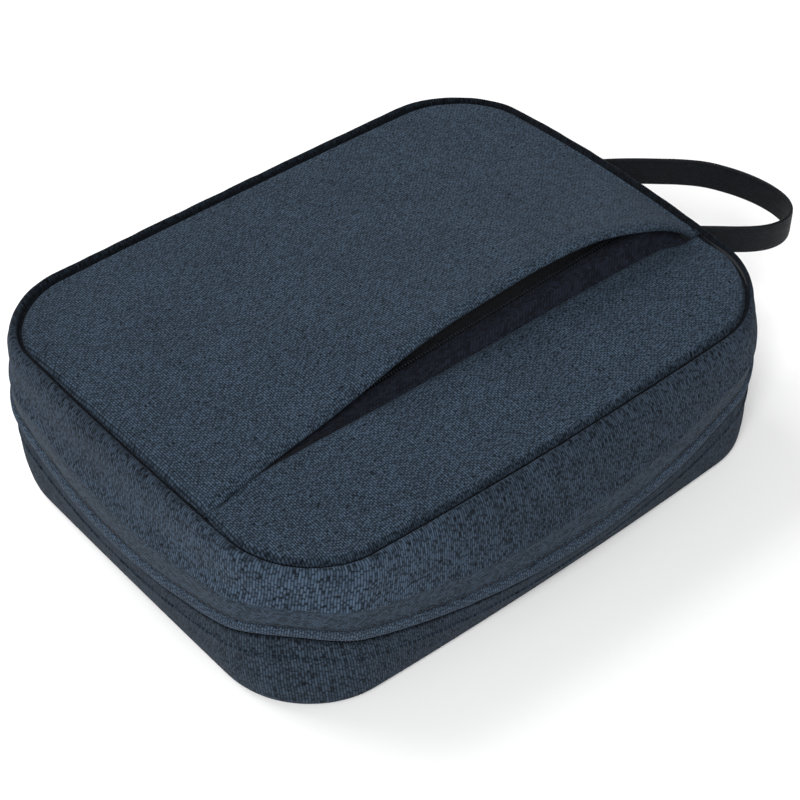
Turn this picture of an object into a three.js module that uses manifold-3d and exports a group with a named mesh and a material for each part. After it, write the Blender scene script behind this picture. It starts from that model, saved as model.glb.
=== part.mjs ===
// Travel document organizer: a stuffed soft zip-around case with a slip pocket on its cover and a wrist strap.
// Millimetres, +Z up. The origin is the middle of the flat bottom panel. +X runs along the long side towards the
// wrist strap, +Y towards the spine on which the cover folds open, -Y is the front long side with the zip.
import * as THREE from "three";
import Module from "manifold-3d";

// ---------------------------------------------------------------- driving dimensions
// Rings of the case. Half lengths left/right/front/back, corner radius, height, and for each side how far the ring bows
// out and how far it sags in the middle. The exponent says how flat the middle of that side is.
const SEAM_RING = {
  left: 114, right: 114, front: 88.3, back: 88.3, radius: 30, z: 66.3,
  bow: { left: 3.7, right: 3.7, front: 2.6, back: 2.6 },
  sag: { left: -3.5, right: -3.5, front: 1.5, back: 1.5 },
  power: { left: 2, right: 2, front: 2, back: 2 },
};
const ZIP_RING = {
  left: 117.5, right: 117.5, front: 87, back: 89.5, radius: 27.5, z: 38,
  bow: { left: 8.9, right: 4, front: 16.2, back: 0 },
  sag: { left: 9.7, right: 4, front: 15.7, back: 2 },
  power: { left: 2, right: 6, front: 2, back: 8 },
};
const FOOT_RING = {
  left: 119.9, right: 119.9, front: 92.6, back: 88, radius: 34.5, z: 3.8,
  bow: { left: 0.7, right: 0.7, front: 3.4, back: 0 },
  sag: { left: 0, right: 0, front: 0, back: 0 },
  power: { left: 2, right: 2, front: 2, back: 2 },
};
const BULGE = { left: 1, right: 0.35, front: 1, back: 0.35 }; // share of the wall's stuffing bulge on each side
const CROWN = 3; // how far the pocket flap domes over its seam
const FRONT_CROWN = 1.2; // the same for the lower front panel

const GUSSET_THICK = 1.4;
const PANEL_THICK = 1.2;
const TAPE_THICK = 0.8;
const LINING_THICK = 0.8;
const GAP = 0.35; // air between sewn neighbours

const COVER_TAPE = { from: 3.0, to: 15.5 }; // distance from the parting line, up the cover's wall
const BASE_TAPE = { from: 3.0, to: 10.5 }; // the same, down the base's wall
const COIL_RADIUS = 0.95;
const COIL_FROM_LINE = 1.6;

const MOUTH_Y = -41; // upper edge of the lower front panel
// hem of the pocket flap: x, y, z of its edge from the left seam to the right seam
const HEM = [
  [-112.4, -43.6, 66.0], [-100, -41.8, 68.6], [-88, -40.2, 70.3], [-74, -38.6, 71.6], [-60, -37.3, 73.0],
  [-48, -36.4, 74.8], [-36, -35.6, 77.0], [-22, -35.0, 80.0], [-4, -34.8, 82.9], [16, -35.0, 85.0],
  [36, -35.6, 86.3], [54, -36.7, 86.8], [68, -37.9, 86.2], [80, -39.2, 84.2], [92, -40.6, 80.9],
  [102, -42.0, 77.0], [110, -43.2, 72.0], [114.8, -43.8, 67.4],
];
const FLAP_LIFT_LENGTH = 104; // how far behind its hem the flap is still lifted

const POCKET_COIL = { y: -30.2, x0: -92, z0: 63.6, x1: 100, z1: 73.2 }; // straight run of the pocket zip's lower coil

const SHEETS = {
  pocketInner: [59.3, 60.2], coverFoam: [56.0, 59.0], coverLining: [54.8, 55.7],
  bottom: [0, 1.4], baseFoam: [1.8, 5.0], baseLining: [5.3, 6.1],
};

const SPINE_AXIS = { y: 91.0, z: 36 }; // fold line of the spine
const STRAP = { width: 12, thick: 1.6, z: 51.6 }; // webbing on edge
const STRAP_BEND = { sewn: 0.016, loop: 0.062 }; // shares of its length: sewn end, and start of the swinging loop
const STRAP_PATH = [
  [121.9, 26.6], [128.5, 23], [135.5, 18.2], [142, 13.1], [149, 7], [156.2, 0.4], [162.2, -6.6], [166, -13.8],
  [168.8, -21.4], [170.5, -29.6], [170.7, -37.6], [169.2, -44.2], [165.8, -49], [160.2, -51.5], [153.4, -51.2],
  [147.2, -48.5], [141.2, -44.1], [134.4, -38.2], [128, -32.8], [121.9, -28.2],
];
const MAIN_SLIDER = { y: 44, length: 11, across: 10 };
const MAIN_PULL = { length: 26, width: 7, thick: 0.95 };
const POCKET_PULL = { length: 15, width: 5.5, thick: 0.9 };

// ---------------------------------------------------------------- materials
const fabric = (color, roughness = 0.95) =>
  new THREE.MeshStandardMaterial({ color, roughness, metalness: 0 });
const metal = (color, roughness = 0.35) =>
  new THREE.MeshStandardMaterial({ color, roughness, metalness: 1 });

const organizer = new THREE.Group();
function add(name, geometry, material) {
  const mesh = new THREE.Mesh(geometry, material);
  mesh.name = name;
  organizer.add(mesh);
  return mesh;
}

// ---------------------------------------------------------------- rings
// The stations all rings share, so that any two rings can be lofted point to point. The walk starts in the middle of
// the back side and goes by the left, front and right sides.
const STATIONS = [];
function stations(part, count, from = 0) {
  for (let i = from; i < count; i++) STATIONS.push([part, i / count]);
}
stations("back_left", 2);
stations("corner_back_left", 5);
stations("left", 5);
stations("corner_front_left", 5);
stations("front", 8);
stations("corner_front_right", 5);
stations("right", 6);
stations("corner_back_right", 5);
stations("back_right", 2);
const N = STATIONS.length;
const FIRST_CORNER = STATIONS.findIndex(([p]) => p === "corner_back_left");
const LAST_CORNER = STATIONS.findIndex(([p]) => p === "back_right");

function ringPoint(spec, [part, f], inset = 0) {
  const a = (spec.left + spec.right) / 2 - inset,
    b = (spec.front + spec.back) / 2 - inset;
  const cx = (spec.right - spec.left) / 2,
    cy = (spec.back - spec.front) / 2;
  const r = Math.max(spec.radius - inset, 4);
  const turn = (c0x, c0y, start) => [
    c0x + r * Math.cos(start + (f * Math.PI) / 2),
    c0y + r * Math.sin(start + (f * Math.PI) / 2),
  ];
  let x, y;
  if (part === "back_left") [x, y] = [-(a - r) * f, b];
  if (part === "corner_back_left") [x, y] = turn(-(a - r), b - r, Math.PI / 2);
  if (part === "left") [x, y] = [-a, (b - r) * (1 - 2 * f)];
  if (part === "corner_front_left") [x, y] = turn(-(a - r), -(b - r), Math.PI);
  if (part === "front") [x, y] = [(a - r) * (2 * f - 1), -b];
  if (part === "corner_front_right") [x, y] = turn(a - r, -(b - r), 1.5 * Math.PI);
  if (part === "right") [x, y] = [a, (b - r) * (2 * f - 1)];
  if (part === "corner_back_right") [x, y] = turn(a - r, b - r, 0);
  if (part === "back_right") [x, y] = [(a - r) * (1 - f), b];
  const xs = x < 0 ? "left" : "right",
    ys = y < 0 ? "front" : "back";
  const alongX = 1 - Math.abs(x / a) ** spec.power[ys],
    alongY = 1 - Math.abs(y / b) ** spec.power[xs];
  const onY = Math.abs(y / b) ** 8,
    onX = Math.abs(x / a) ** 8;
  return new THREE.Vector3(
    cx + x + Math.sign(x) * spec.bow[xs] * alongY * onX,
    cy + y + Math.sign(y) * spec.bow[ys] * alongX * onY,
    spec.z - spec.sag[ys] * alongX * onY - spec.sag[xs] * alongY * onX,
  );
}
const ring = (spec, inset = 0) => STATIONS.map((s) => ringPoint(spec, s, inset));
const seam = ring(SEAM_RING),
  zip = ring(ZIP_RING),
  foot = ring(FOOT_RING);

// Outward horizontal direction of a closed ring at each station.
function outwards(points) {
  return points.map((_, i) => {
    const t = points[(i + 1) % N].clone().sub(points[(i + N - 1) % N]);
    return new THREE.Vector3(-t.y, t.x, 0).normalize().negate();
  });
}
const out = outwards(ring({ ...ZIP_RING, bow: { left: 0, right: 0, front: 0, back: 0 } }));
const bulgeAt = STATIONS.map(([part, f]) => {
  const mix = (p, q) => THREE.MathUtils.lerp(BULGE[p], BULGE[q], THREE.MathUtils.smoothstep(f, 0, 1));
  if (part.startsWith("back_")) return BULGE.back;
  if (part === "corner_back_left") return mix("back", "left");
  if (part === "corner_front_left") return mix("left", "front");
  if (part === "corner_front_right") return mix("front", "right");
  if (part === "corner_back_right") return mix("right", "back");
  return BULGE[part];
});
function table(rows, t) {
  if (t <= rows[0][0]) return rows[0][1];
  for (let i = 1; i < rows.length; i++)
    if (t <= rows[i][0])
      return THREE.MathUtils.mapLinear(t, rows[i - 1][0], rows[i][0], rows[i - 1][1], rows[i][1]);
  return rows[rows.length - 1][1];
}

// Outer skin of the cover's wall: t = 0 at the top seam, 1 at the parting line.
const COVER_BULGE = [[0, 0], [0.07, 3.0], [0.25, 4.2], [0.5, 3.8], [0.75, 2.4], [1, 0]];
function coverWall(i, t) {
  const p = seam[i].clone().lerp(zip[i], t);
  const o = 0.9 * (1 - t) + table(COVER_BULGE, t) * bulgeAt[i];
  return p.addScaledVector(out[i], o).setZ(p.z - (t === 0 ? 0.6 : 0));
}
const coverLength = (i) => seam[i].distanceTo(zip[i]);
const coverUp = (i, d) => coverWall(i, 1 - d / coverLength(i)); // d millimetres above the parting line

// Outer skin of the base's wall: t = 0 at the parting line, 1 at the foot.
const BASE_BULGE = [[0, -0.6], [0.35, 0.9], [0.7, 1.0], [1, 0]];
function baseWall(i, t) {
  const p = zip[i].clone().lerp(foot[i], t);
  return p.addScaledVector(out[i], table(BASE_BULGE, t) * bulgeAt[i]);
}
const baseLength = (i) => zip[i].distanceTo(foot[i]);
const baseDown = (i, d) => baseWall(i, d / baseLength(i)); // d millimetres below the parting line

// ---------------------------------------------------------------- closed bodies
// A closed body from quads and triangles given as point lists: equal points are merged, empty faces dropped, and the
// faces turned outwards.
function closedBody(faces) {
  const index = new Map(),
    points = [],
    triangles = [];
  const id = (p) => {
    const key = [p.x, p.y, p.z].map((v) => Math.round(v * 1e4)).join();
    if (!index.has(key)) {
      index.set(key, points.length / 3);
      points.push(p.x, p.y, p.z);
    }
    return index.get(key);
  };
  for (const face of faces) {
    const k = face.map(id);
    for (let j = 1; j + 1 < k.length; j++) {
      const [a, b, c] = [k[0], k[j], k[j + 1]];
      if (a !== b && b !== c && a !== c) triangles.push(a, b, c);
    }
  }
  let volume = 0;
  const v = (k) => new THREE.Vector3().fromArray(points, 3 * k);
  for (let j = 0; j < triangles.length; j += 3)
    volume += v(triangles[j]).dot(v(triangles[j + 1]).cross(v(triangles[j + 2])));
  if (volume < 0)
    for (let j = 0; j < triangles.length; j += 3)
      [triangles[j + 1], triangles[j + 2]] = [triangles[j + 2], triangles[j + 1]];
  const g = new THREE.BufferGeometry();
  g.setAttribute("position", new THREE.Float32BufferAttribute(points, 3));
  g.setIndex(triangles);
  g.computeVertexNormals();
  return g;
}

// A sheet of the given thickness behind a grid of points grid[i][j]. Its front is the side that `front` points to at
// any station, and `depth` moves the whole sheet back from the grid.
function sheet(grid, thick, front, { closed = false, depth = 0 } = {}) {
  const n = grid.length,
    m = grid[0].length;
  const at = (i, j) => grid[closed ? (i + n) % n : Math.min(Math.max(i, 0), n - 1)][Math.min(Math.max(j, 0), m - 1)];
  const normal = (i, j) => {
    const du = at(i + 1, j).clone().sub(at(i - 1, j)),
      dv = at(i, j + 1).clone().sub(at(i, j - 1));
    let k = du.cross(dv);
    if (k.length() < 1e-6) {
      const i2 = i < n / 2 ? i + 1 : i - 1;
      k = at(i2 + 1, j).clone().sub(at(i2 - 1, j)).cross(at(i2, j + 1).clone().sub(at(i2, j - 1)));
    }
    k.normalize();
    return k.dot(front(i)) < 0 ? k.negate() : k;
  };
  const face = [],
    back = [];
  for (let i = 0; i < n; i++) {
    face.push([]);
    back.push([]);
    for (let j = 0; j < m; j++) {
      const k = normal(i, j);
      face[i].push(grid[i][j].clone().addScaledVector(k, -depth));
      back[i].push(grid[i][j].clone().addScaledVector(k, -depth - thick));
    }
  }
  const faces = [];
  const spans = closed ? n : n - 1;
  for (let i = 0; i < spans; i++) {
    const i2 = (i + 1) % n;
    for (let j = 0; j + 1 < m; j++) {
      faces.push([face[i][j], face[i2][j], face[i2][j + 1], face[i][j + 1]]);
      faces.push([back[i][j + 1], back[i2][j + 1], back[i2][j], back[i][j]]);
    }
    faces.push([back[i][0], back[i2][0], face[i2][0], face[i][0]]);
    faces.push([face[i][m - 1], face[i2][m - 1], back[i2][m - 1], back[i][m - 1]]);
  }
  if (!closed)
    for (let j = 0; j + 1 < m; j++) {
      faces.push([face[0][j], face[0][j + 1], back[0][j + 1], back[0][j]]);
      faces.push([back[n - 1][j], back[n - 1][j + 1], face[n - 1][j + 1], face[n - 1][j]]);
    }
  return closedBody(faces);
}

// The stretch of wall that the zip runs along (three sides), and the stretch that is the spine.
const aroundZip = [];
for (let i = FIRST_CORNER; i <= LAST_CORNER; i++) aroundZip.push(i);
const alongSpine = [LAST_CORNER, LAST_CORNER + 1, 0, 1, FIRST_CORNER];
const wall = (list, columns, thick, depth = 0) =>
  sheet(list.map((i) => columns(i)), thick, (k) => out[list[k]], { depth });
// The same list pulled in a little at both ends, so that the spine and the side pieces don't touch.
function trimmed(list, columns, gap) {
  const rows = list.map((i) => columns(i));
  const pull = (r, q) => r.map((p, j) => p.clone().lerp(q[j], gap / p.distanceTo(q[j])));
  const firstRow = pull(rows[0], rows[1]),
    lastRow = pull(rows[rows.length - 1], rows[rows.length - 2]);
  rows[0] = firstRow;
  rows[rows.length - 1] = lastRow;
  return rows;
}
const trimmedWall = (list, columns, thick, depth = 0, gap = 0.25) =>
  sheet(trimmed(list, columns, gap), thick, (k) => out[list[k]], { depth });

// A tube of a given section along points: section(i) gives closed loops of points. `closed` joins the ends.
function tube(loops, closed = false) {
  const faces = [];
  const n = loops.length,
    m = loops[0].length;
  for (let i = 0; i < (closed ? n : n - 1); i++)
    for (let j = 0; j < m; j++) {
      const a = loops[i],
        b = loops[(i + 1) % n];
      faces.push([a[j], b[j], b[(j + 1) % m], a[(j + 1) % m]]);
    }
  if (!closed) {
    faces.push([...loops[0]]);
    faces.push([...loops[n - 1]].reverse());
  }
  return closedBody(faces);
}

// ---------------------------------------------------------------- cover: side walls
const navy = 0x2c3a4b,
  navyDark = 0x1f2833,
  lining = 0x3c434c;
const coverTop = (i) => COVER_TAPE.to + GAP;
add(
  "cover_gusset",
  trimmedWall(
    aroundZip,
    (i) => {
      const L = coverLength(i),
        tEnd = 1 - coverTop(i) / L;
      return [0, 0.07, 0.07 + (tEnd - 0.07) * 0.35, 0.07 + (tEnd - 0.07) * 0.7, tEnd].map((t) => coverWall(i, t));
    },
    GUSSET_THICK,
  ),
  fabric(navy),
);
add(
  "cover_zip_tape",
  trimmedWall(aroundZip, (i) => [COVER_TAPE.to, 9, COVER_TAPE.from].map((d) => coverUp(i, d)), TAPE_THICK),
  fabric(navy),
);
add(
  "cover_spine_panel",
  trimmedWall(
    alongSpine,
    (i) => [0, 0.07, 0.5, 1].map((t) => (t < 1 ? coverWall(i, t) : coverUp(i, 0.6))),
    GUSSET_THICK,
  ),
  fabric(navy),
);
add(
  "cover_side_lining",
  trimmedWall(
    aroundZip,
    (i) => [coverWall(i, 0.22), coverWall(i, 0.42), coverUp(i, 7.5)],
    LINING_THICK,
    GUSSET_THICK + GAP,
  ),
  fabric(lining),
);
const coilLoop = (centre, i, r, sides = 6) => {
  const loop = [];
  for (let k = 0; k < sides; k++) {
    const a = (2 * Math.PI * k) / sides;
    loop.push(
      centre
        .clone()
        .addScaledVector(out[i], r * Math.cos(a))
        .add(new THREE.Vector3(0, 0, r * Math.sin(a))),
    );
  }
  return loop;
};
const wallLine = (at, d) =>
  trimmed(aroundZip, (i) => [at(i, d).addScaledVector(out[i], -TAPE_THICK / 2)], 0.6).map((r) => r[0]);
add(
  "cover_zip_coil",
  tube(wallLine(coverUp, COIL_FROM_LINE).map((p, k) => coilLoop(p, aroundZip[k], COIL_RADIUS))),
  fabric(0x20262e, 0.5),
);

// Bound seam allowance under the top seam, all round.
const bindingLoop = (p, i, r0, r1, z0, z1) =>
  [[r0, z0], [r1, z0], [r1, z1], [r0, z1]].map(([r, z]) =>
    p.clone().addScaledVector(out[i], r).add(new THREE.Vector3(0, 0, z)),
  );
const everyStation = STATIONS.map((_, i) => i);
add(
  "cover_seam_binding",
  tube(everyStation.map((i) => bindingLoop(seam[i], i, -3.4, -1.8, -4.3, -3.5)), true),
  fabric(navyDark),
);

// ---------------------------------------------------------------- cover: panels and pocket
// Height of the cover's skin over the plan.
function coverSkin(x, y, crown = CROWN) {
  const q = Math.min(1, Math.abs(x / 117) ** 5 + Math.abs(y / 90) ** 5);
  const rise =
    3.5 * (x / 117.7) ** 2 * (1 - (y / 88.3) ** 2) - 1.5 * (y / 90.9) ** 2 * (1 - Math.min(1, (x / 114) ** 2));
  return SEAM_RING.z + rise + crown * (1 - q);
}
// The lower front panel lies lower, and slips under the flap at both ends of the mouth.
function frontSkin(x, y) {
  const under = THREE.MathUtils.smoothstep(Math.abs(x), 84, 106) * THREE.MathUtils.smoothstep(y, -62, -46);
  return coverSkin(x, y, FRONT_CROWN) - 1.3 * under;
}
const hemCurve = new THREE.CatmullRomCurve3(HEM.map((p) => new THREE.Vector3(...p)), false, "centripetal");
const hemAt = (x) => {
  let lo = 0,
    hi = 1;
  for (let k = 0; k < 30; k++) {
    const mid = (lo + hi) / 2;
    if (hemCurve.getPoint(mid).x < x) lo = mid;
    else hi = mid;
  }
  return hemCurve.getPoint((lo + hi) / 2);
};
function flapSkin(x, y) {
  const hem = hemAt(THREE.MathUtils.clamp(x, -112, 115));
  const lift = Math.max(0, hem.z - coverSkin(x, hem.y));
  const behind = THREE.MathUtils.clamp((y - hem.y) / FLAP_LIFT_LENGTH, 0, 1);
  return coverSkin(x, y) + lift * (1 - behind) ** 1.7;
}
// Points of the seam, pulled in to the panels' edge, between two y values on the back or front part.
const panelEdge = seam.map((p, i) => p.clone().addScaledVector(out[i], -0.9));
function edgeRun(indices, yLimit, back) {
  // the stretch of the outline behind (back) or in front of the mouth line, its two ends exactly on the line
  const pts = indices.map((i) => panelEdge[i]);
  const kept = (p) => (back ? p.y > yLimit : p.y < yLimit);
  const cross = (p, q) => p.clone().lerp(q, (yLimit - p.y) / (q.y - p.y));
  const run = [];
  for (let k = 0; k < pts.length; k++) {
    if (kept(pts[k])) {
      if (!run.length && k > 0) run.push(cross(pts[k - 1], pts[k]));
      run.push(pts[k]);
    } else if (run.length) {
      run.push(cross(pts[k - 1], pts[k]));
      break;
    }
  }
  return run;
}
// the back part of the outline is walked from the right seam over the spine to the left seam
const rightMiddle = STATIONS.findIndex(([p]) => p === "corner_front_right");
const leftFront = STATIONS.findIndex(([p]) => p === "corner_front_left");
const backWalk = [];
for (let k = rightMiddle; k <= N + leftFront + 4; k++) backWalk.push(k % N);
const backRun = edgeRun(backWalk, -43.2, true);
const frontWalk = [];
for (let k = FIRST_CORNER + 5; k <= LAST_CORNER - 5; k++) frontWalk.push(k);
const frontRun = edgeRun(frontWalk, MOUTH_Y - 3.4, false);

const upward = () => new THREE.Vector3(0, 0, 1);
function arcShares(run) {
  const s = [0];
  for (let k = 1; k < run.length; k++) s.push(s[k - 1] + run[k].distanceTo(run[k - 1]));
  return s.map((v) => v / s[s.length - 1]);
}
// Flap: ruled from the hem to the outline, then lifted to its skin.
const flapShares = arcShares(backRun).map((s) => 0.5 - 0.5 * Math.cos(Math.PI * (0.12 + 0.76 * s)) );
const flapLow = flapShares[0],
  flapHigh = flapShares[flapShares.length - 1];
const flapRows = [0, 0.06, 0.18, 0.36, 0.58, 0.82, 0.97, 1];
const flapGrid = backRun.map((edge, k) => {
  const s = (flapShares[k] - flapLow) / (flapHigh - flapLow);
  const x = THREE.MathUtils.lerp(114.8, -112.4, s);
  const hem = hemAt(x);
  return flapRows.map((v) => {
    if (k === 0 || k === backRun.length - 1) {
      const end = edge.clone();
      return end.setZ(coverSkin(end.x, end.y) - 0.8).lerp(hem.clone().setZ(hem.z), (1 - v) * 0.5);
    }
    const px = THREE.MathUtils.lerp(hem.x, edge.x, v),
      py = THREE.MathUtils.lerp(hem.y, edge.y, v);
    return new THREE.Vector3(px, py, flapSkin(px, py) - (v === 1 ? 0.8 : 0));
  });
});
add("pocket_flap_panel", sheet(flapGrid, PANEL_THICK, upward), fabric(navy));

// Lower front panel: ruled from the mouth line to the outline.
const frontShares = arcShares(frontRun);
const frontRows = [0, 0.3, 0.65, 0.95, 1];
const frontGrid = frontRun.map((edge, k) => {
  const s = 0.5 - 0.5 * Math.cos(Math.PI * (0.12 + 0.76 * frontShares[k]));
  const s0 = 0.5 - 0.5 * Math.cos(Math.PI * 0.12),
    s1 = 0.5 - 0.5 * Math.cos(Math.PI * 0.88);
  const x = THREE.MathUtils.lerp(-112.6, 113.6, (s - s0) / (s1 - s0));
  const y = MOUTH_Y - 3.3 * THREE.MathUtils.smoothstep(Math.abs(x), 98, 111);
  return frontRows.map((v) => {
    const px = THREE.MathUtils.lerp(x, edge.x, v),
      py = THREE.MathUtils.lerp(y, edge.y, v);
    return new THREE.Vector3(px, py, frontSkin(px, py) - (v === 1 ? 0.8 : 0));
  });
});
add("lower_front_panel", sheet(frontGrid, PANEL_THICK, upward), fabric(navy));

// Flat layers: an outline extruded between two heights.
function plate(points, [z0, z1]) {
  const shape = new THREE.Shape(points.map((p) => new THREE.Vector2(p.x, p.y)));
  const g = new THREE.ExtrudeGeometry(shape, { depth: z1 - z0, bevelEnabled: false });
  g.translate(0, 0, z0);
  return g;
}
const inward = (points, d) => points.map((p, i) => p.clone().addScaledVector(out[i], -d));
const coverLayer = inward(seam, 2.4);
add("pocket_inner_sheet", plate(coverLayer, SHEETS.pocketInner), fabric(lining));
add("cover_foam", plate(coverLayer, SHEETS.coverFoam), fabric(0xd8d8d4));
add("cover_lining", plate(coverLayer, SHEETS.coverLining), fabric(lining));

// Zip of the pocket mouth: the lower tape stands out of the panel's edge, its coil runs straight along the mouth.
const coilZ = (x) => THREE.MathUtils.mapLinear(x, POCKET_COIL.x0, POCKET_COIL.x1, POCKET_COIL.z0, POCKET_COIL.z1);
const tapeXs = [-101, -84, -60, -20, 20, 60, 84, 94, 101];
add(
  "pocket_zip_panel_tape",
  sheet(
    tapeXs.map((x) => {
      return [
        new THREE.Vector3(x, -47.5, frontSkin(x, -47.5) - 1.9),
        new THREE.Vector3(x, -40.6, frontSkin(x, MOUTH_Y) - 1.7),
        new THREE.Vector3(x, -35.6, coilZ(x) + 0.3),
        new THREE.Vector3(x, -31.7, coilZ(x) + 0.3),
      ];
    }),
    0.6,
    upward,
  ),
  fabric(navyDark),
);
const round = (r, sides = 8) => {
  const s = new THREE.Shape();
  for (let k = 0; k < sides; k++) {
    const a = (2 * Math.PI * k) / sides;
    if (k) s.lineTo(r * Math.cos(a), r * Math.sin(a));
    else s.moveTo(r, 0);
  }
  s.closePath();
  return s;
};
add(
  "pocket_zip_panel_coil",
  new THREE.ExtrudeGeometry(round(0.9), {
    steps: 1,
    bevelEnabled: false,
    extrudePath: new THREE.LineCurve3(
      new THREE.Vector3(-101, POCKET_COIL.y, coilZ(-101)),
      new THREE.Vector3(101, POCKET_COIL.y, coilZ(101)),
    ),
  }),
  fabric(0x20262e, 0.5),
);
const flapXs = [-72, -56, -40, -20, 0, 20, 40, 60, 78, 90, 97];
const underFlap = (x, dy, drop) => {
  const h = hemAt(x);
  return new THREE.Vector3(x, h.y + dy, flapSkin(x, h.y + dy) - PANEL_THICK - drop);
};
add(
  "pocket_zip_flap_tape",
  sheet(flapXs.map((x) => [underFlap(x, 3.4, 0.45), underFlap(x, 13, 0.45)]), 0.6, upward),
  fabric(navyDark),
);
add(
  "pocket_zip_flap_coil",
  tube(
    flapXs.map((x) => {
      const c = underFlap(x, 2.0, 1.5);
      return [0, 1, 2, 3, 4, 5].map((k) =>
        c.clone().add(new THREE.Vector3(0, 0.8 * Math.cos((k * Math.PI) / 3), 0.8 * Math.sin((k * Math.PI) / 3))),
      );
    }),
  ),
  fabric(0x20262e, 0.5),
);

// Mesh pocket on the inside of the cover, with its elastic binding.
function roundedPlate(x0, x1, y0, y1, r, z0, z1) {
  const s = new THREE.Shape();
  s.moveTo(x0 + r, y0);
  s.lineTo(x1 - r, y0);
  s.quadraticCurveTo(x1, y0, x1, y0 + r);
  s.lineTo(x1, y1 - r);
  s.quadraticCurveTo(x1, y1, x1 - r, y1);
  s.lineTo(x0 + r, y1);
  s.quadraticCurveTo(x0, y1, x0, y1 - r);
  s.lineTo(x0, y0 + r);
  s.quadraticCurveTo(x0, y0, x0 + r, y0);
  const g = new THREE.ExtrudeGeometry(s, { depth: z1 - z0, bevelEnabled: false, curveSegments: 4 });
  g.translate(0, 0, z0);
  return g;
}
add("mesh_pocket", roundedPlate(-96, 96, -20, 72, 16, 53.6, 54.4), fabric(0x1d2126));
add("mesh_pocket_binding", roundedPlate(-96, 96, -29, -20.4, 2, 53.2, 54.4), fabric(navyDark));

// ---------------------------------------------------------------- base
add(
  "base_zip_tape",
  trimmedWall(aroundZip, (i) => [BASE_TAPE.from, 6.5, BASE_TAPE.to].map((d) => baseDown(i, d)), TAPE_THICK),
  fabric(navy),
);
add(
  "base_zip_coil",
  tube(wallLine(baseDown, COIL_FROM_LINE).map((p, k) => coilLoop(p, aroundZip[k], COIL_RADIUS))),
  fabric(0x20262e, 0.5),
);
const footInset = (i, d, z) => foot[i].clone().addScaledVector(out[i], -d).setZ(z);
const baseGussetRows = (i) => [
  baseDown(i, BASE_TAPE.to + GAP),
  baseDown(i, (BASE_TAPE.to + GAP + baseLength(i)) / 2),
  baseWall(i, 1),
  footInset(i, 2.6, 1.5),
  footInset(i, 7.4, 0.15),
];
add("base_gusset", trimmedWall(aroundZip, baseGussetRows, GUSSET_THICK), fabric(navy));
add(
  "base_spine_panel",
  trimmedWall(
    alongSpine,
    (i) => [baseDown(i, 0.6), baseWall(i, 0.5), baseWall(i, 1), footInset(i, 2.6, 1.5), footInset(i, 7.4, 0.15)],
    GUSSET_THICK,
  ),
  fabric(navy),
);
add(
  "base_side_lining",
  trimmedWall(
    aroundZip,
    (i) => [baseDown(i, 7.5), baseWall(i, 0.6), baseWall(i, 0.75)],
    LINING_THICK,
    GUSSET_THICK + GAP + 0.6,
  ),
  fabric(lining),
);
const bottomOutline = inward(foot, 8.0);
add("bottom_panel", plate(bottomOutline, SHEETS.bottom), fabric(navy));
add(
  "base_seam_binding",
  tube(everyStation.map((i) => bindingLoop(foot[i].clone().setZ(0), i, -8.6, -7.2, 1.85, 2.9)), true),
  fabric(navyDark),
);
add("base_foam", plate(inward(foot, 9.2), SHEETS.baseFoam), fabric(0xd8d8d4));
add("base_lining", plate(inward(foot, 5.2), SHEETS.baseLining), fabric(lining));

// Slip pockets on the base: one full-width document sleeve, a passport pocket and three stepped card slots on it.
add("document_sleeve", roundedPlate(-104, 104, -74, 40, 14, 6.45, 7.15), fabric(lining));
add("passport_pocket", roundedPlate(-98, -6, -68, 12, 8, 7.5, 8.2), fabric(lining));
add("card_slot_back", roundedPlate(4, 98, -68, 14, 8, 7.5, 8.2), fabric(lining));
add("card_slot_middle", roundedPlate(4, 98, -68, -2, 8, 8.55, 9.25), fabric(lining));
add("card_slot_front", roundedPlate(4, 98, -68, -18, 8, 9.6, 10.3), fabric(lining));
// Elastic pen loop beside the spine: a flat-bottomed ring of webbing open along X.
{
  const s = new THREE.Shape();
  s.absellipse(0, 0, 8.5, 6.2, 0, 2 * Math.PI, false, 0);
  const hole = new THREE.Path();
  hole.absellipse(0, 0, 7.5, 5.2, 0, 2 * Math.PI, true, 0);
  s.holes.push(hole);
  const g = new THREE.ExtrudeGeometry(s, { depth: 20, bevelEnabled: false, curveSegments: 9 });
  g.rotateX(Math.PI / 2);
  g.rotateZ(Math.PI / 2);
  g.translate(-10, 58, 6.45 + 6.2);
  add("pen_loop", g, fabric(navyDark));
}

// ---------------------------------------------------------------- sliders and pulls
const wasm = await Module();
wasm.setup();
function solid(geometry) {
  const index = new Map(),
    vert = [],
    tri = [];
  const g = geometry.index ? geometry.toNonIndexed() : geometry;
  const p = g.getAttribute("position");
  for (let i = 0; i < p.count; i++) {
    const key = [p.getX(i), p.getY(i), p.getZ(i)].map((v) => Math.round(v * 1e4)).join();
    if (!index.has(key)) {
      index.set(key, vert.length / 3);
      vert.push(p.getX(i), p.getY(i), p.getZ(i));
    }
    tri.push(index.get(key));
  }
  return new wasm.Manifold(
    new wasm.Mesh({ numProp: 3, vertProperties: new Float32Array(vert), triVerts: new Uint32Array(tri) }),
  );
}
function geometryOf(manifold) {
  const m = manifold.getMesh();
  const g = new THREE.BufferGeometry();
  g.setAttribute("position", new THREE.BufferAttribute(new Float32Array(m.vertProperties), 3));
  g.setIndex(Array.from(m.triVerts));
  g.computeVertexNormals();
  return g;
}
const outlineShape = (pts) => new THREE.Shape(pts.map(([x, y]) => new THREE.Vector2(x, y)));
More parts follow.
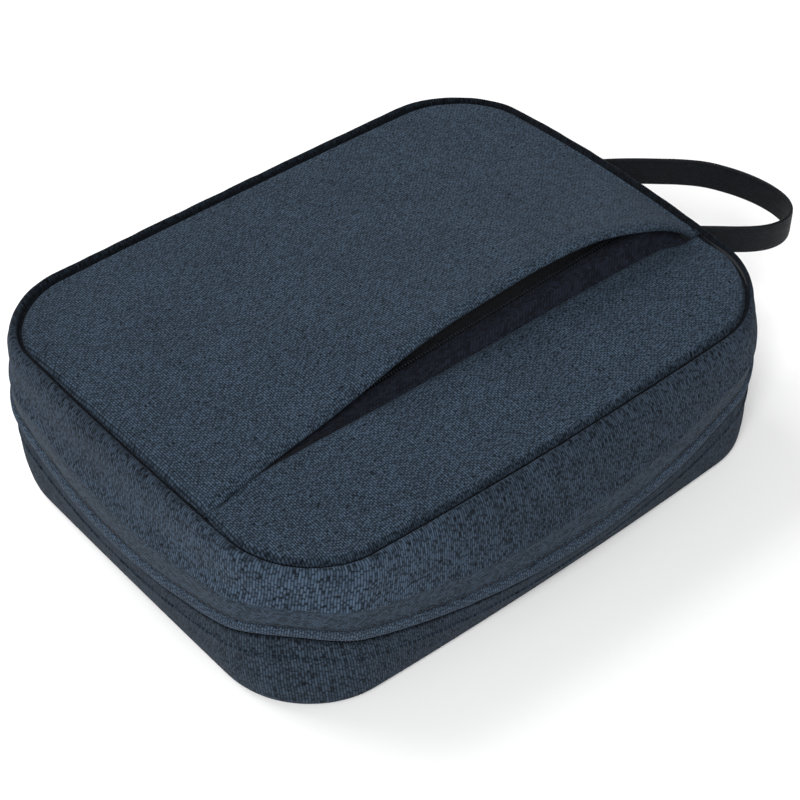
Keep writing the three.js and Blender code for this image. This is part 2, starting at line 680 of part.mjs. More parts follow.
// A slider in its own frame: x along the zip, y across it, z out of the tape. Two plates joined by the post between
// the coils, a lip round the fixed coil, and the bridge that holds the pull.
function sliderBody(length, low, high, postLow, postHigh, lip = 0.75, gap = 1.4) {
  const plates = outlineShape([
    [low, -lip], [low - 0.7, -lip], [low - 0.7, -2.3], [high, -2.3], [high, -gap], [postHigh, -gap],
    [postHigh, gap], [high, gap], [high, 2.3], [low - 0.7, 2.3], [low - 0.7, lip], [low, lip], [low, gap],
    [postLow, gap], [postLow, -gap], [low, -gap],
  ]);
  const body = new THREE.ExtrudeGeometry(plates, { depth: length, bevelEnabled: false });
  // the outline is drawn in (y, z) and extruded along x
  body.applyMatrix4(new THREE.Matrix4().makeBasis(
    new THREE.Vector3(0, 1, 0), new THREE.Vector3(0, 0, 1), new THREE.Vector3(1, 0, 0)));
  body.translate(-length / 2, 0, 0);
  // bridge: an arch along x
  const arch = new THREE.Shape();
  arch.moveTo(-3.2, 2.1);
  arch.lineTo(3.2, 2.1);
  arch.lineTo(3.2, 3.4);
  arch.lineTo(2.2, 4.5);
  arch.lineTo(-2.2, 4.5);
  arch.lineTo(-3.2, 3.4);
  const eye = new THREE.Path();
  eye.moveTo(-2.2, 2.35);
  eye.lineTo(-2.2, 3.8);
  eye.lineTo(2.2, 3.8);
  eye.lineTo(2.2, 2.35);
  arch.holes.push(eye);
  const bridge = new THREE.ExtrudeGeometry(arch, { depth: 1.8, bevelEnabled: false });
  bridge.applyMatrix4(new THREE.Matrix4().makeBasis(
    new THREE.Vector3(1, 0, 0), new THREE.Vector3(0, 0, 1), new THREE.Vector3(0, -1, 0)));
  const middle = (low + high) / 2;
  bridge.translate(0, middle + 0.9, 0);
  return geometryOf(solid(body).add(solid(bridge)));
}
// A pull in its own frame: its bar sits at the origin along y, the tab runs towards +x.
function pullTab(length, width, thick) {
  const tab = new THREE.Shape();
  const h = width / 2;
  tab.moveTo(-0.4, -1.9);
  tab.lineTo(4, -1.9);
  tab.lineTo(6.5, -h);
  tab.lineTo(length - h, -h);
  tab.absarc(length - h, 0, h, -Math.PI / 2, Math.PI / 2, false);
  tab.lineTo(6.5, h);
  tab.lineTo(4, 1.9);
  tab.lineTo(-0.4, 1.9);
  const window = new THREE.Path();
  window.moveTo(0.4, -1.2);
  window.lineTo(0.4, 1.2);
  window.lineTo(3.6, 1.2);
  window.lineTo(3.6, -1.2);
  tab.holes.push(window);
  const g = new THREE.ExtrudeGeometry(tab, { depth: thick, bevelEnabled: false, curveSegments: 6 });
  g.translate(0, 0, -thick / 2);
  return g;
}

// Main slider on the strap side: x along +Y, y along +Z, z out along +X.
const rightX = ZIP_RING.right + ZIP_RING.bow.right - TAPE_THICK / 2;
const rightZ = ZIP_RING.z - ZIP_RING.sag.right;
const sideFrame = new THREE.Matrix4().makeBasis(
  new THREE.Vector3(0, 1, 0), new THREE.Vector3(0, 0, 1), new THREE.Vector3(1, 0, 0));
const mainSlider = sliderBody(MAIN_SLIDER.length, -4.4, 4.6, -0.26, 0.26, 1.05, 1.5);
mainSlider.applyMatrix4(sideFrame);
mainSlider.translate(rightX, MAIN_SLIDER.y, rightZ);
add("main_zip_slider", mainSlider, metal(0x23262a));
const mainPull = pullTab(MAIN_PULL.length, MAIN_PULL.width, MAIN_PULL.thick);
mainPull.rotateZ(Math.PI); // it lies towards the front
mainPull.applyMatrix4(sideFrame);
mainPull.translate(rightX + 3.05, MAIN_SLIDER.y, rightZ + 0.1);
add("main_zip_pull", mainPull, metal(0x23262a));

// Pocket slider at the left end of the mouth, under the flap's hem.
const slope = Math.atan2(POCKET_COIL.z1 - POCKET_COIL.z0, POCKET_COIL.x1 - POCKET_COIL.x0);
const pocketSlider = sliderBody(8, -3.0, 5.2, 1.4, 1.9);
pocketSlider.scale(1, 1, 0.86);
pocketSlider.rotateY(-slope);
pocketSlider.translate(-92, POCKET_COIL.y, coilZ(-92));
add("pocket_zip_slider", pocketSlider, metal(0x23262a));
const pocketPull = pullTab(POCKET_PULL.length, POCKET_PULL.width, POCKET_PULL.thick);
pocketPull.rotateY(-slope);
pocketPull.translate(-92, POCKET_COIL.y + 1.1, coilZ(-92) + 2.62);
add("pocket_zip_pull", pocketPull, metal(0x23262a));

// ---------------------------------------------------------------- wrist strap
const strapCurve = new THREE.CatmullRomCurve3(
  STRAP_PATH.map(([x, y]) => new THREE.Vector3(x, y, STRAP.z)), false, "centripetal");
// The webbing bends just outside the seam, so its two sewn ends stay on the cover and the loop swings as a piece.
const STRAP_STEPS = 28;
function webbing(from, to, steps) {
 const loops = [];
 for (let k = 0; k <= steps; k++) {
  const u = THREE.MathUtils.lerp(from, to, k / steps);
  const p = strapCurve.getPointAt(u),
    t = strapCurve.getTangentAt(u);
  const side = new THREE.Vector3(-t.y, t.x, 0).normalize().multiplyScalar(STRAP.thick / 2),
    up = new THREE.Vector3(0, 0, STRAP.width / 2);
  loops.push([
    p.clone().add(side).add(up), p.clone().sub(side).add(up),
    p.clone().sub(side).sub(up), p.clone().add(side).sub(up),
  ]);
 }
 return tube(loops);
}
add("wrist_strap", webbing(STRAP_BEND.loop, 1 - STRAP_BEND.loop, STRAP_STEPS), fabric(0x20262b));
add("strap_end_far", webbing(0, STRAP_BEND.sewn, 1), fabric(0x20262b));
add("strap_end_near", webbing(1 - STRAP_BEND.sewn, 1, 1), fabric(0x20262b));

export default organizer;
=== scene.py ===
import math

import bpy
import numpy as np
from mathutils import Matrix, Vector


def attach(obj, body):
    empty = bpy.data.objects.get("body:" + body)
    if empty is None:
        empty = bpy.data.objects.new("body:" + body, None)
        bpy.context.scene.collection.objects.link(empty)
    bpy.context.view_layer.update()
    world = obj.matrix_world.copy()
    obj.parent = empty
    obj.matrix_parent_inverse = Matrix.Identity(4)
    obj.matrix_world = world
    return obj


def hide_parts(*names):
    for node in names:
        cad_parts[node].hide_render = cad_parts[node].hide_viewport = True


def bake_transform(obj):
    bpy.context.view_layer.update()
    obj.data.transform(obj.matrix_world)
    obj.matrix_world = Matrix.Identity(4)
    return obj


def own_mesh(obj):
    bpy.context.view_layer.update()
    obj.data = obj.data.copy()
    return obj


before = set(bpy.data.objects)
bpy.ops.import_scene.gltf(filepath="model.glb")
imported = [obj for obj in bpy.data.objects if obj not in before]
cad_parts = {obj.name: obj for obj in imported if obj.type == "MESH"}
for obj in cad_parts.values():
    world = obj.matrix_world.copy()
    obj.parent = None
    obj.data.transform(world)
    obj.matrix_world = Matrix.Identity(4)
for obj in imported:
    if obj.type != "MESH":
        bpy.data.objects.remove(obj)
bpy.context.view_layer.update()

MM = 0.001
scene = bpy.context.scene

# ------------------------------------------------------------------ rings of the case, in millimetres, as the CAD has them
SEAM = dict(left=114, right=114, front=88.3, back=88.3, radius=30, z=66.3,
            bow=dict(left=3.7, right=3.7, front=2.6, back=2.6), sag=dict(left=-3.5, right=-3.5, front=1.5, back=1.5),
            power=dict(left=2, right=2, front=2, back=2))
ZIP = dict(left=117.5, right=117.5, front=87, back=89.5, radius=27.5, z=38,
           bow=dict(left=8.9, right=4, front=16.2, back=0), sag=dict(left=9.7, right=4, front=15.7, back=2),
           power=dict(left=2, right=6, front=2, back=8))
FOOT = dict(left=119.9, right=119.9, front=92.6, back=88, radius=34.5, z=3.8,
            bow=dict(left=.7, right=.7, front=3.4, back=0), sag=dict(left=0, right=0, front=0, back=0),
            power=dict(left=2, right=2, front=2, back=2))
BULGE = dict(left=1.0, right=.35, front=1.0, back=.35)
HEM = np.array([
    [-112.4, -43.6, 66.0], [-100, -41.8, 68.6], [-88, -40.2, 70.3], [-74, -38.6, 71.6], [-60, -37.3, 73.0],
    [-48, -36.4, 74.8], [-36, -35.6, 77.0], [-22, -35.0, 80.0], [-4, -34.8, 82.9], [16, -35.0, 85.0],
    [36, -35.6, 86.3], [54, -36.7, 86.8], [68, -37.9, 86.2], [80, -39.2, 84.2], [92, -40.6, 80.9],
    [102, -42.0, 77.0], [110, -43.2, 72.0], [114.8, -43.8, 67.4]])
MOUTH_Y = -41.0
STRAP_PATH = np.array([
    [121.9, 26.6], [128.5, 23], [135.5, 18.2], [142, 13.1], [149, 7], [156.2, 0.4], [162.2, -6.6], [166, -13.8],
    [168.8, -21.4], [170.5, -29.6], [170.7, -37.6], [169.2, -44.2], [165.8, -49], [160.2, -51.5], [153.4, -51.2],
    [147.2, -48.5], [141.2, -44.1], [134.4, -38.2], [128, -32.8], [121.9, -28.2]])

PARTS = [("back_left", 56), ("corner_back_left", 34), ("left", 84), ("corner_front_left", 38), ("front", 124),
         ("corner_front_right", 38), ("right", 84), ("corner_back_right", 34), ("back_right", 56)]
ST = [(p, i / n) for p, n in PARTS for i in range(n)]
N = len(ST)
PART = np.array([p for p, _ in ST])
START = {p: int(np.argmax(PART == p)) for p, _ in PARTS}


def smooth(x, a, b):
    t = np.clip((np.asarray(x, float) - a) / (b - a), 0, 1)
    return t * t * (3 - 2 * t)


def ring(spec, inset=0.0, bow=True):
    a = (spec["left"] + spec["right"]) / 2 - inset
    b = (spec["front"] + spec["back"]) / 2 - inset
    cx, cy = (spec["right"] - spec["left"]) / 2, (spec["back"] - spec["front"]) / 2
    r = max(spec["radius"] - inset, 4)
    res = np.zeros((N, 3))
    for i, (p, f) in enumerate(ST):
        turn = lambda x0, y0, s: (x0 + r * math.cos(s + f * math.pi / 2), y0 + r * math.sin(s + f * math.pi / 2))
        if p == "back_left": x, y = -(a - r) * f, b
        elif p == "corner_back_left": x, y = turn(-(a - r), b - r, math.pi / 2)
        elif p == "left": x, y = -a, (b - r) * (1 - 2 * f)
        elif p == "corner_front_left": x, y = turn(-(a - r), -(b - r), math.pi)
        elif p == "front": x, y = (a - r) * (2 * f - 1), -b
        elif p == "corner_front_right": x, y = turn(a - r, -(b - r), 1.5 * math.pi)
        elif p == "right": x, y = a, (b - r) * (2 * f - 1)
        elif p == "corner_back_right": x, y = turn(a - r, b - r, 0)
        else: x, y = (a - r) * (1 - f), b
        xs, ys = ("left" if x < 0 else "right"), ("front" if y < 0 else "back")
        ax, ay = 1 - abs(x / a) ** spec["power"][ys], 1 - abs(y / b) ** spec["power"][xs]
        oy, ox = abs(y / b) ** 8, abs(x / a) ** 8
        k = 1.0 if bow else 0.0
        res[i] = (cx + x + k * math.copysign(1, x) * spec["bow"][xs] * ay * ox,
                  cy + y + k * math.copysign(1, y) * spec["bow"][ys] * ax * oy,
                  spec["z"] - spec["sag"][ys] * ax * oy - spec["sag"][xs] * ay * ox)
    return res


def unit(v):
    return v / np.maximum(np.linalg.norm(v, axis=-1, keepdims=True), 1e-12)


S, Z, F = ring(SEAM), ring(ZIP), ring(FOOT)
plain = ring(ZIP, bow=False)
tang = np.roll(plain, -1, 0) - np.roll(plain, 1, 0)
k_bl = START["left"] + 4
Z = Z + 0.0
OUT = unit(np.stack([tang[:, 1], -tang[:, 0], np.zeros(N)], 1))
if OUT[START["front"] + 50, 1] > 0:
    OUT = -OUT
# neighbouring stations of the straights and the corners turn into each other gently
for _ in range(6):
    OUT = unit(OUT + 0.5 * (np.roll(OUT, 1, 0) + np.roll(OUT, -1, 0)))
    S, Z, F = [0.5 * q + 0.25 * (np.roll(q, 1, 0) + np.roll(q, -1, 0)) for q in (S, Z, F)]


Z = Z - OUT * (1.5 * np.exp(-((np.arange(N) - k_bl) / 26.0) ** 2))[:, None]


def side_mix(values):
    res = np.zeros(N)
    for i, (p, f) in enumerate(ST):
        m = f * f * (3 - 2 * f)
        if p.startswith("back_"): res[i] = values["back"]
        elif p == "corner_back_left": res[i] = values["back"] * (1 - m) + values["left"] * m
        elif p == "corner_front_left": res[i] = values["left"] * (1 - m) + values["front"] * m
        elif p == "corner_front_right": res[i] = values["front"] * (1 - m) + values["right"] * m
        elif p == "corner_back_right": res[i] = values["right"] * (1 - m) + values["back"] * m
        else: res[i] = values[p]
    return res


BULGE_AT = side_mix(BULGE)
STRAP_SIDE = side_mix(dict(back=.8, left=0.15, front=0.0, right=1.0))
LEFT_AT = side_mix(dict(back=0.0, left=1.0, front=0.0, right=0.0))
ROLL_AT = side_mix(dict(back=1.0, left=0.55, front=0.0, right=0.0))
ARC = np.concatenate([[0], np.cumsum(np.linalg.norm(np.diff(np.vstack([Z, Z[:1]]), axis=0), axis=1))])
RING_LENGTH, ARC = ARC[-1], ARC[:-1]


def pchip(xs, ys, t):
    """Smooth monotone curve through a table."""
    xs, ys = np.asarray(xs, float), np.asarray(ys, float)
    h, d = np.diff(xs), np.diff(ys) / np.diff(xs)
    m = np.zeros(len(xs))
    for k in range(1, len(xs) - 1):
        if d[k - 1] * d[k] > 0:
            w1, w2 = 2 * h[k] + h[k - 1], h[k] + 2 * h[k - 1]
            m[k] = (w1 + w2) / (w1 / d[k - 1] + w2 / d[k])
    m[0], m[-1] = d[0], d[-1]
    t = np.clip(np.asarray(t, float), xs[0], xs[-1])
    k = np.clip(np.searchsorted(xs, t, side="right") - 1, 0, len(xs) - 2)
    u = (t - xs[k]) / h[k]
    return (ys[k] * (2 * u**3 - 3 * u**2 + 1) + h[k] * m[k] * (u**3 - 2 * u**2 + u)
            + ys[k + 1] * (-2 * u**3 + 3 * u**2) + h[k] * m[k + 1] * (u**3 - u**2))


def hash01(*ks):
    h = np.zeros(np.broadcast(*ks).shape, np.uint64) + np.uint64(0x9E3779B97F4A7C15)
    for k in ks:
        h = (h ^ (np.asarray(k, np.int64).astype(np.uint64) + np.uint64(0x9E3779B9))) * np.uint64(0xBF58476D1CE4E5B9)
        h = h ^ (h >> np.uint64(27))
    return ((h >> np.uint64(11)) & np.uint64(0xFFFFFF)).astype(float) / 0xFFFFFF


def noise2(x, y, seed=0, period_x=None):
    """Smooth value noise in -1..1; period_x makes it wrap after that many cells."""
    x, y = np.broadcast_arrays(np.asarray(x, float), np.asarray(y, float))
    ix, iy = np.floor(x).astype(int), np.floor(y).astype(int)
    fx, fy = x - ix, y - iy
    fx, fy = fx * fx * fx * (fx * (fx * 6 - 15) + 10), fy * fy * fy * (fy * (fy * 6 - 15) + 10)
    wrap = (lambda k: np.mod(k, period_x)) if period_x else (lambda k: k)
    g = lambda a, b: hash01(wrap(a), b, np.full(a.shape, seed))
    v = (g(ix, iy) * (1 - fx) + g(ix + 1, iy) * fx) * (1 - fy) + (g(ix, iy + 1) * (1 - fx) + g(ix + 1, iy + 1) * fx) * fy
    return 2 * v - 1


COVER_T, COVER_V = [0, .07, .25, .5, .75, 1], [0, 3.0, 4.2, 3.8, 2.4, 0]
BASE_T, BASE_V = [0, .35, .7, 1], [-.6, .9, 1.0, 0]
COVER_L = np.linalg.norm(S - Z, axis=1)
BASE_L = np.linalg.norm(Z - F, axis=1)
idx_all = np.arange(N)


def cover_wall(i, t):
    """Outer skin of the cover's wall at stations i (n) and shares t (n,m or m): 0 at the seam, 1 at the parting line."""
    i = np.asarray(i)
    t = np.broadcast_to(np.asarray(t, float), (len(i), np.shape(t)[-1]))
    p = S[i][:, None] * (1 - t[..., None]) + Z[i][:, None] * t[..., None]
    o = 0.9 * (1 - t) + pchip(COVER_T, COVER_V, t) * BULGE_AT[i][:, None]
    o = o - 1.7 * LEFT_AT[i][:, None] * np.exp(-((t - 0.42) / 0.22) ** 2)
    return p + OUT[i][:, None] * o[..., None]


def cover_up(i, d):
    i = np.asarray(i)
    d = np.broadcast_to(np.asarray(d, float), (len(i), np.shape(d)[-1]))
    return cover_wall(i, 1 - d / COVER_L[i][:, None])


def base_wall(i, t):
    i = np.asarray(i)
    t = np.broadcast_to(np.asarray(t, float), (len(i), np.shape(t)[-1]))
    p = Z[i][:, None] * (1 - t[..., None]) + F[i][:, None] * t[..., None]
    return p + OUT[i][:, None] * (pchip(BASE_T, BASE_V, t) * BULGE_AT[i][:, None])[..., None]


def base_down(i, d):
    i = np.asarray(i)
    d = np.broadcast_to(np.asarray(d, float), (len(i), np.shape(d)[-1]))
    return base_wall(i, d / BASE_L[i][:, None])


A_START, A_END = START["corner_back_left"], START["back_right"]
AROUND = np.arange(A_START, A_END + 1)  # the three sides with the zip
SPINE = np.concatenate([np.arange(A_END, N), np.arange(0, A_START + 1)])


def cover_skin(x, y, crown=3.0):
    q = np.minimum(1, np.abs(x / 117) ** 5 + np.abs(y / 90) ** 5)
    rise = (3.5 * (x / 117.7) ** 2 * (1 - (y / 88.3) ** 2)
            - 1.5 * (y / 90.9) ** 2 * (1 - np.minimum(1, (x / 114) ** 2)))
    return 66.3 + rise + crown * (1 - q)


def front_skin(x, y):
    under = smooth(np.abs(x), 84, 106) * smooth(y, -62, -46)
    return cover_skin(x, y, 1.2) - 1.3 * under


def catmull(points, per=24):
    """Centripetal Catmull-Rom through the points, as a dense polyline."""
    p = np.asarray(points, float)
    p = np.vstack([2 * p[0] - p[1], p, 2 * p[-1] - p[-2]])
    res = []
    for k in range(1, len(p) - 2):
        p0, p1, p2, p3 = p[k - 1], p[k], p[k + 1], p[k + 2]
        t0 = 0.0
        t1 = t0 + np.linalg.norm(p1 - p0) ** .5
        t2 = t1 + np.linalg.norm(p2 - p1) ** .5
        t3 = t2 + np.linalg.norm(p3 - p2) ** .5
        for u in range(per):
            t = t1 + (t2 - t1) * u / per
            a1 = (t1 - t) / (t1 - t0) * p0 + (t - t0) / (t1 - t0) * p1
            a2 = (t2 - t) / (t2 - t1) * p1 + (t - t1) / (t2 - t1) * p2
            a3 = (t3 - t) / (t3 - t2) * p2 + (t - t2) / (t3 - t2) * p3
            b1 = (t2 - t) / (t2 - t0) * a1 + (t - t0) / (t2 - t0) * a2
            b2 = (t3 - t) / (t3 - t1) * a2 + (t - t1) / (t3 - t1) * a3
            res.append((t2 - t) / (t2 - t1) * b1 + (t - t1) / (t2 - t1) * b2)
    res.append(p[-2])
    return np.array(res)


HEM_LINE = catmull(HEM)


hem_lo = HEM_LINE[0] + (HEM_LINE[0] - HEM_LINE[24]) / (HEM_LINE[0, 0] - HEM_LINE[24, 0]) * -3.6
hem_hi = HEM_LINE[-1] + (HEM_LINE[-1] - HEM_LINE[-20]) / (HEM_LINE[-1, 0] - HEM_LINE[-20, 0]) * 2.0
hem_lo[2], hem_hi[2] = 65.4, 66.2
HEM_LINE = np.vstack([hem_lo, HEM_LINE, hem_hi])


def hem_at(x):
    return np.stack([np.asarray(x, float), np.interp(x, HEM_LINE[:, 0], HEM_LINE[:, 1]),
                     np.interp(x, HEM_LINE[:, 0], HEM_LINE[:, 2])], -1)


def flap_skin(x, y):
    h = hem_at(np.clip(x, -115.8, 116.2))
    lift = np.maximum(0, h[..., 2] - cover_skin(x, h[..., 1]))
    behind = np.clip((y - h[..., 1]) / 104, 0, 1)
    return cover_skin(x, y) + lift * (1 - behind) ** 1.7


# ------------------------------------------------------------------ meshes
def build(name, verts, faces, cloth=None, mats=(), face_mat=None, sharp=50):
    """A mesh object from millimetre vertices; cloth is a vector per vertex that the fabric materials read."""
    verts = np.asarray(verts, float)
    counts = np.fromiter((len(f) for f in faces), np.int32, len(faces))
    flat = np.concatenate([np.asarray(f, np.int32) for f in faces]) if len(set(counts.tolist())) > 1 else np.asarray(faces, np.int32).ravel()
    starts = np.concatenate([[0], np.cumsum(counts)[:-1]]).astype(np.int32)
    # faces turned outwards
    vol = 0.0
    for size in set(counts.tolist()):
        st = starts[counts == size]
        a0 = verts[flat[st]]
        for k in range(1, size - 1):
            vol += float(np.einsum("ij,ij->", a0, np.cross(verts[flat[st + k]], verts[flat[st + k + 1]])))
    me = bpy.data.meshes.new(name)
    me.vertices.add(len(verts))
    me.vertices.foreach_set("co", (verts * MM).astype(np.float32).ravel())
    me.loops.add(len(flat))
    me.loops.foreach_set("vertex_index", flat)
    me.polygons.add(len(counts))
    me.polygons.foreach_set("loop_start", starts)
    me.polygons.foreach_set("loop_total", counts)
    if face_mat is not None:
        me.polygons.foreach_set("material_index", np.asarray(face_mat, np.int32))
    me.update(calc_edges=True)
    if vol < 0:
        me.flip_normals()
    if cloth is not None:
        at = me.attributes.new("cloth", "FLOAT_VECTOR", "POINT")
        at.data.foreach_set("vector", np.asarray(cloth, np.float32).ravel())
    for m in mats:
        me.materials.append(m)
    me.polygons.foreach_set("use_smooth", np.ones(len(me.polygons), bool))
    if sharp:
        me.set_sharp_from_angle(angle=math.radians(sharp))
    me.update()
    ob = bpy.data.objects.new(name, me)
    scene.collection.objects.link(ob)
    return ob


def painted_shade(ob, values):
    """How much painted shade darkens the cloth at each vertex: seam grooves, the roll on the shaded sides and walls
    that get less light.
    """
    at = ob.data.attributes.new("painted_shade", "FLOAT", "POINT")
    at.data.foreach_set("value", np.asarray(values, np.float32).ravel())


def grid_normals(g, front, closed=False):
    if closed:
        du = np.roll(g, -1, 0) - np.roll(g, 1, 0)
    else:
        du = np.gradient(g, axis=0)
    dv = np.gradient(g, axis=1)
    n = np.cross(du, dv)
    ln = np.linalg.norm(n, axis=-1)
    n = n / np.maximum(ln, 1e-9)[..., None]
    bad = ln < 1e-6
    if bad.any():
        n[bad] = np.broadcast_to(front, n.shape)[bad]
    return -n if np.sum(n * front) < 0 else n


def shell(name, grid, thick, front, cloth, mats, closed=False, back_mat=0, rim=4, depth=0.0, ends=True, rims=(True, True), sharp=50, shade=None):
    """A closed sheet under a grid (stations, rows, 3) with rounded long edges. back_mat is the material of its back."""
    g = np.asarray(grid, float)
    n, m, _ = g.shape
    nor = grid_normals(g, front, closed)
    thick = np.broadcast_to(np.asarray(thick, float), (n, m))
    top = g - nor * (depth if np.isscalar(depth) else depth[..., None])
    back = top - nor * thick[..., None]

    def arc(j, j2):
        c, r = (top[:, j] + back[:, j]) / 2, thick[:, j] / 2
        e = unit(top[:, j] - top[:, j2])
        e = unit(e - nor[:, j] * np.sum(e * nor[:, j], -1, keepdims=True))
        res = []
        for k in range(1, rim):
            a = math.pi * k / rim
            res.append(c + r[:, None] * (math.cos(a) * nor[:, j] + math.sin(a) * e))
        return res

    a1 = arc(m - 1, m - 2) if rims[1] else []
    a0 = arc(0, 1)[::-1] if rims[0] else []
    loop = [top[:, j] for j in range(m)] + a1 + [back[:, j] for j in range(m - 1, -1, -1)] + a0
    L = len(loop)
    V = np.stack(loop, 1)  # n, L, 3
    c = np.asarray(cloth, float)
    if c.shape[-1] == 2:
        c = np.concatenate([c, np.zeros(c.shape[:-1] + (1,))], -1)
    cl = [c[:, j] for j in range(m)]
    cl += [c[:, m - 1] + (c[:, m - 1] - c[:, m - 2]) / np.maximum(np.linalg.norm(c[:, m - 1] - c[:, m - 2], axis=-1, keepdims=True), 1e-6) * (k + 1) * .3 for k in range(len(a1))]
    cl += [c[:, j] for j in range(m - 1, -1, -1)]
    cl += [c[:, 0] + (c[:, 0] - c[:, 1]) / np.maximum(np.linalg.norm(c[:, 0] - c[:, 1], axis=-1, keepdims=True), 1e-6) * (len(a0) - k) * .5 for k in range(len(a0))]
    C = np.stack(cl, 1)
    ids = np.arange(n * L).reshape(n, L)
    faces, fm = [], []
    spans = n if closed else n - 1
    i = np.arange(spans)
    i2 = (i + 1) % n
    for j in range(L):
        j2 = (j + 1) % L
        faces.append(np.stack([ids[i, j], ids[i2, j], ids[i2, j2], ids[i, j2]], 1))
        is_back = m - 1 + len(a1) < j < 2 * m + len(a1) - 1
        fm.append(np.full(spans, back_mat if is_back else 0))
    faces = np.concatenate(faces).tolist()
    fm = np.concatenate(fm).tolist()
    if not closed and ends:
        nb = m + len(a1)
        for end, rev in ((0, False), (n - 1, True)):
            row = ids[end]
            extra = []
            for j in range(m - 1):
                extra.append([row[j], row[j + 1], row[nb + m - 2 - j], row[nb + m - 1 - j]])
            if a1:
                extra.append(list(row[m - 1:nb + 1]))
            if a0:
                extra.append(list(row[nb + m - 1:]) + [row[0]])
            for f in extra:
                faces.append(f if rev is True else f[::-1])
                fm.append(0)
    ob = build(name, V.reshape(-1, 3), faces, C.reshape(-1, 3), mats, fm, sharp)
    # painted shade: per-vertex darkening for grooves and shaded walls, stored on the mesh
    if shade is not None:
        sh = [shade[:, j] for j in range(m)] + [shade[:, m - 1]] * len(a1) + [shade[:, j] for j in range(m - 1, -1, -1)] + [shade[:, 0]] * len(a0)
        painted_shade(ob, np.stack(sh, 1))
    return ob


def frames(path, up):
    """Tangent, side and up at each point of an open or closed polyline, from a field of up vectors."""
    t = unit(np.gradient(path, axis=0))
    s = unit(np.cross(up, t))
    return t, s, unit(np.cross(t, s))


def tube(name, path, radius, mats, sides=8, closed=False, cloth_scale=1.0, caps=True, up=(0, 0, 1), flat=1.0):
    path = np.asarray(path, float)
    n = len(path)
    if closed:
        t = unit(np.roll(path, -1, 0) - np.roll(path, 1, 0))
    else:
        t = unit(np.gradient(path, axis=0))
    upv = np.broadcast_to(np.asarray(up, float), path.shape)
    s = unit(np.cross(upv, t))
    u = unit(np.cross(t, s))
    r = np.broadcast_to(np.asarray(radius, float), (n,))
    ang = np.arange(sides) * 2 * math.pi / sides
    V = (path[:, None] + r[:, None, None] * (np.cos(ang)[None, :, None] * s[:, None] + flat * np.sin(ang)[None, :, None] * u[:, None]))
    L = np.concatenate([[0], np.cumsum(np.linalg.norm(np.diff(path, axis=0), axis=1))])
    C = np.stack([np.broadcast_to(L[:, None], (n, sides)), np.broadcast_to(ang[None] * r[:, None], (n, sides)), np.zeros((n, sides))], -1) * cloth_scale
    ids = np.arange(n * sides).reshape(n, sides)
    spans = n if closed else n - 1
    i = np.arange(spans)
    i2 = (i + 1) % n
    faces = []
    for j in range(sides):
        j2 = (j + 1) % sides
        faces.append(np.stack([ids[i, j], ids[i2, j], ids[i2, j2], ids[i, j2]], 1))
    faces = np.concatenate(faces).tolist()
    if not closed and caps:
        faces.append(ids[0][::-1].tolist())
        faces.append(ids[-1].tolist())
    return build(name, V.reshape(-1, 3), faces, C.reshape(-1, 3), mats)


def along(path, step, closed=False, start=0.0):
    """Points every step along a polyline."""
    p = np.vstack([path, path[:1]]) if closed else np.asarray(path)
    L = np.concatenate([[0], np.cumsum(np.linalg.norm(np.diff(p, axis=0), axis=1))])
    s = np.arange(start, L[-1], step)
    return np.stack([np.interp(s, L, p[:, k]) for k in range(p.shape[1])], 1), s


def stitches(name, path, normals, mats, pitch=3.2, length=2.2, radius=0.28, closed=False, sink=0.1):
    """A row of short thread stitches lying along a path on a surface."""
    both = np.concatenate([path, normals], 1)
    mid, s = along(both, pitch, closed, start=pitch / 2)
    a = np.stack([np.interp(s - length / 2, s, mid[:, k]) for k in range(6)], 1)
    pts, nor = mid[:, :3], unit(mid[:, 3:])
    t = unit(np.gradient(pts, axis=0))
    sd = unit(np.cross(nor, t))
    nor = np.cross(t, sd)
    K, prof = 7, 6
    us = np.linspace(-1, 1, K)
    rad = radius * np.sqrt(np.maximum(0, 1 - np.abs(us) ** 3)) + 0.02
    lift = -sink - radius * 0.9 * np.abs(us) ** 4
    ang = np.arange(prof) * 2 * math.pi / prof
    V = (pts[:, None, None] + t[:, None, None] * (us * length / 2)[None, :, None, None]
         + nor[:, None, None] * (lift[None, :, None, None] + (rad[:, None] * np.sin(ang)[None])[None, :, :, None])
         + sd[:, None, None] * (rad[:, None] * np.cos(ang)[None])[None, :, :, None])
    M = len(pts)
    ids = np.arange(M * K * prof).reshape(M, K, prof)
    faces = []
    for k in range(K - 1):
        for j in range(prof):
            j2 = (j + 1) % prof
            faces.append(np.stack([ids[:, k, j], ids[:, k + 1, j], ids[:, k + 1, j2], ids[:, k, j2]], 1))
    faces = np.concatenate(faces).tolist()
    faces += ids[:, 0, ::-1].tolist() + ids[:, -1, :].tolist()
    C = np.zeros((M * K * prof, 3))
    C[:, 0] = np.repeat(np.arange(M) * pitch, K * prof)
    C[:, 1] = np.tile(np.repeat(us * length / 2, prof), M)
    return build(name, V.reshape(-1, 3), faces, C, mats, sharp=0)


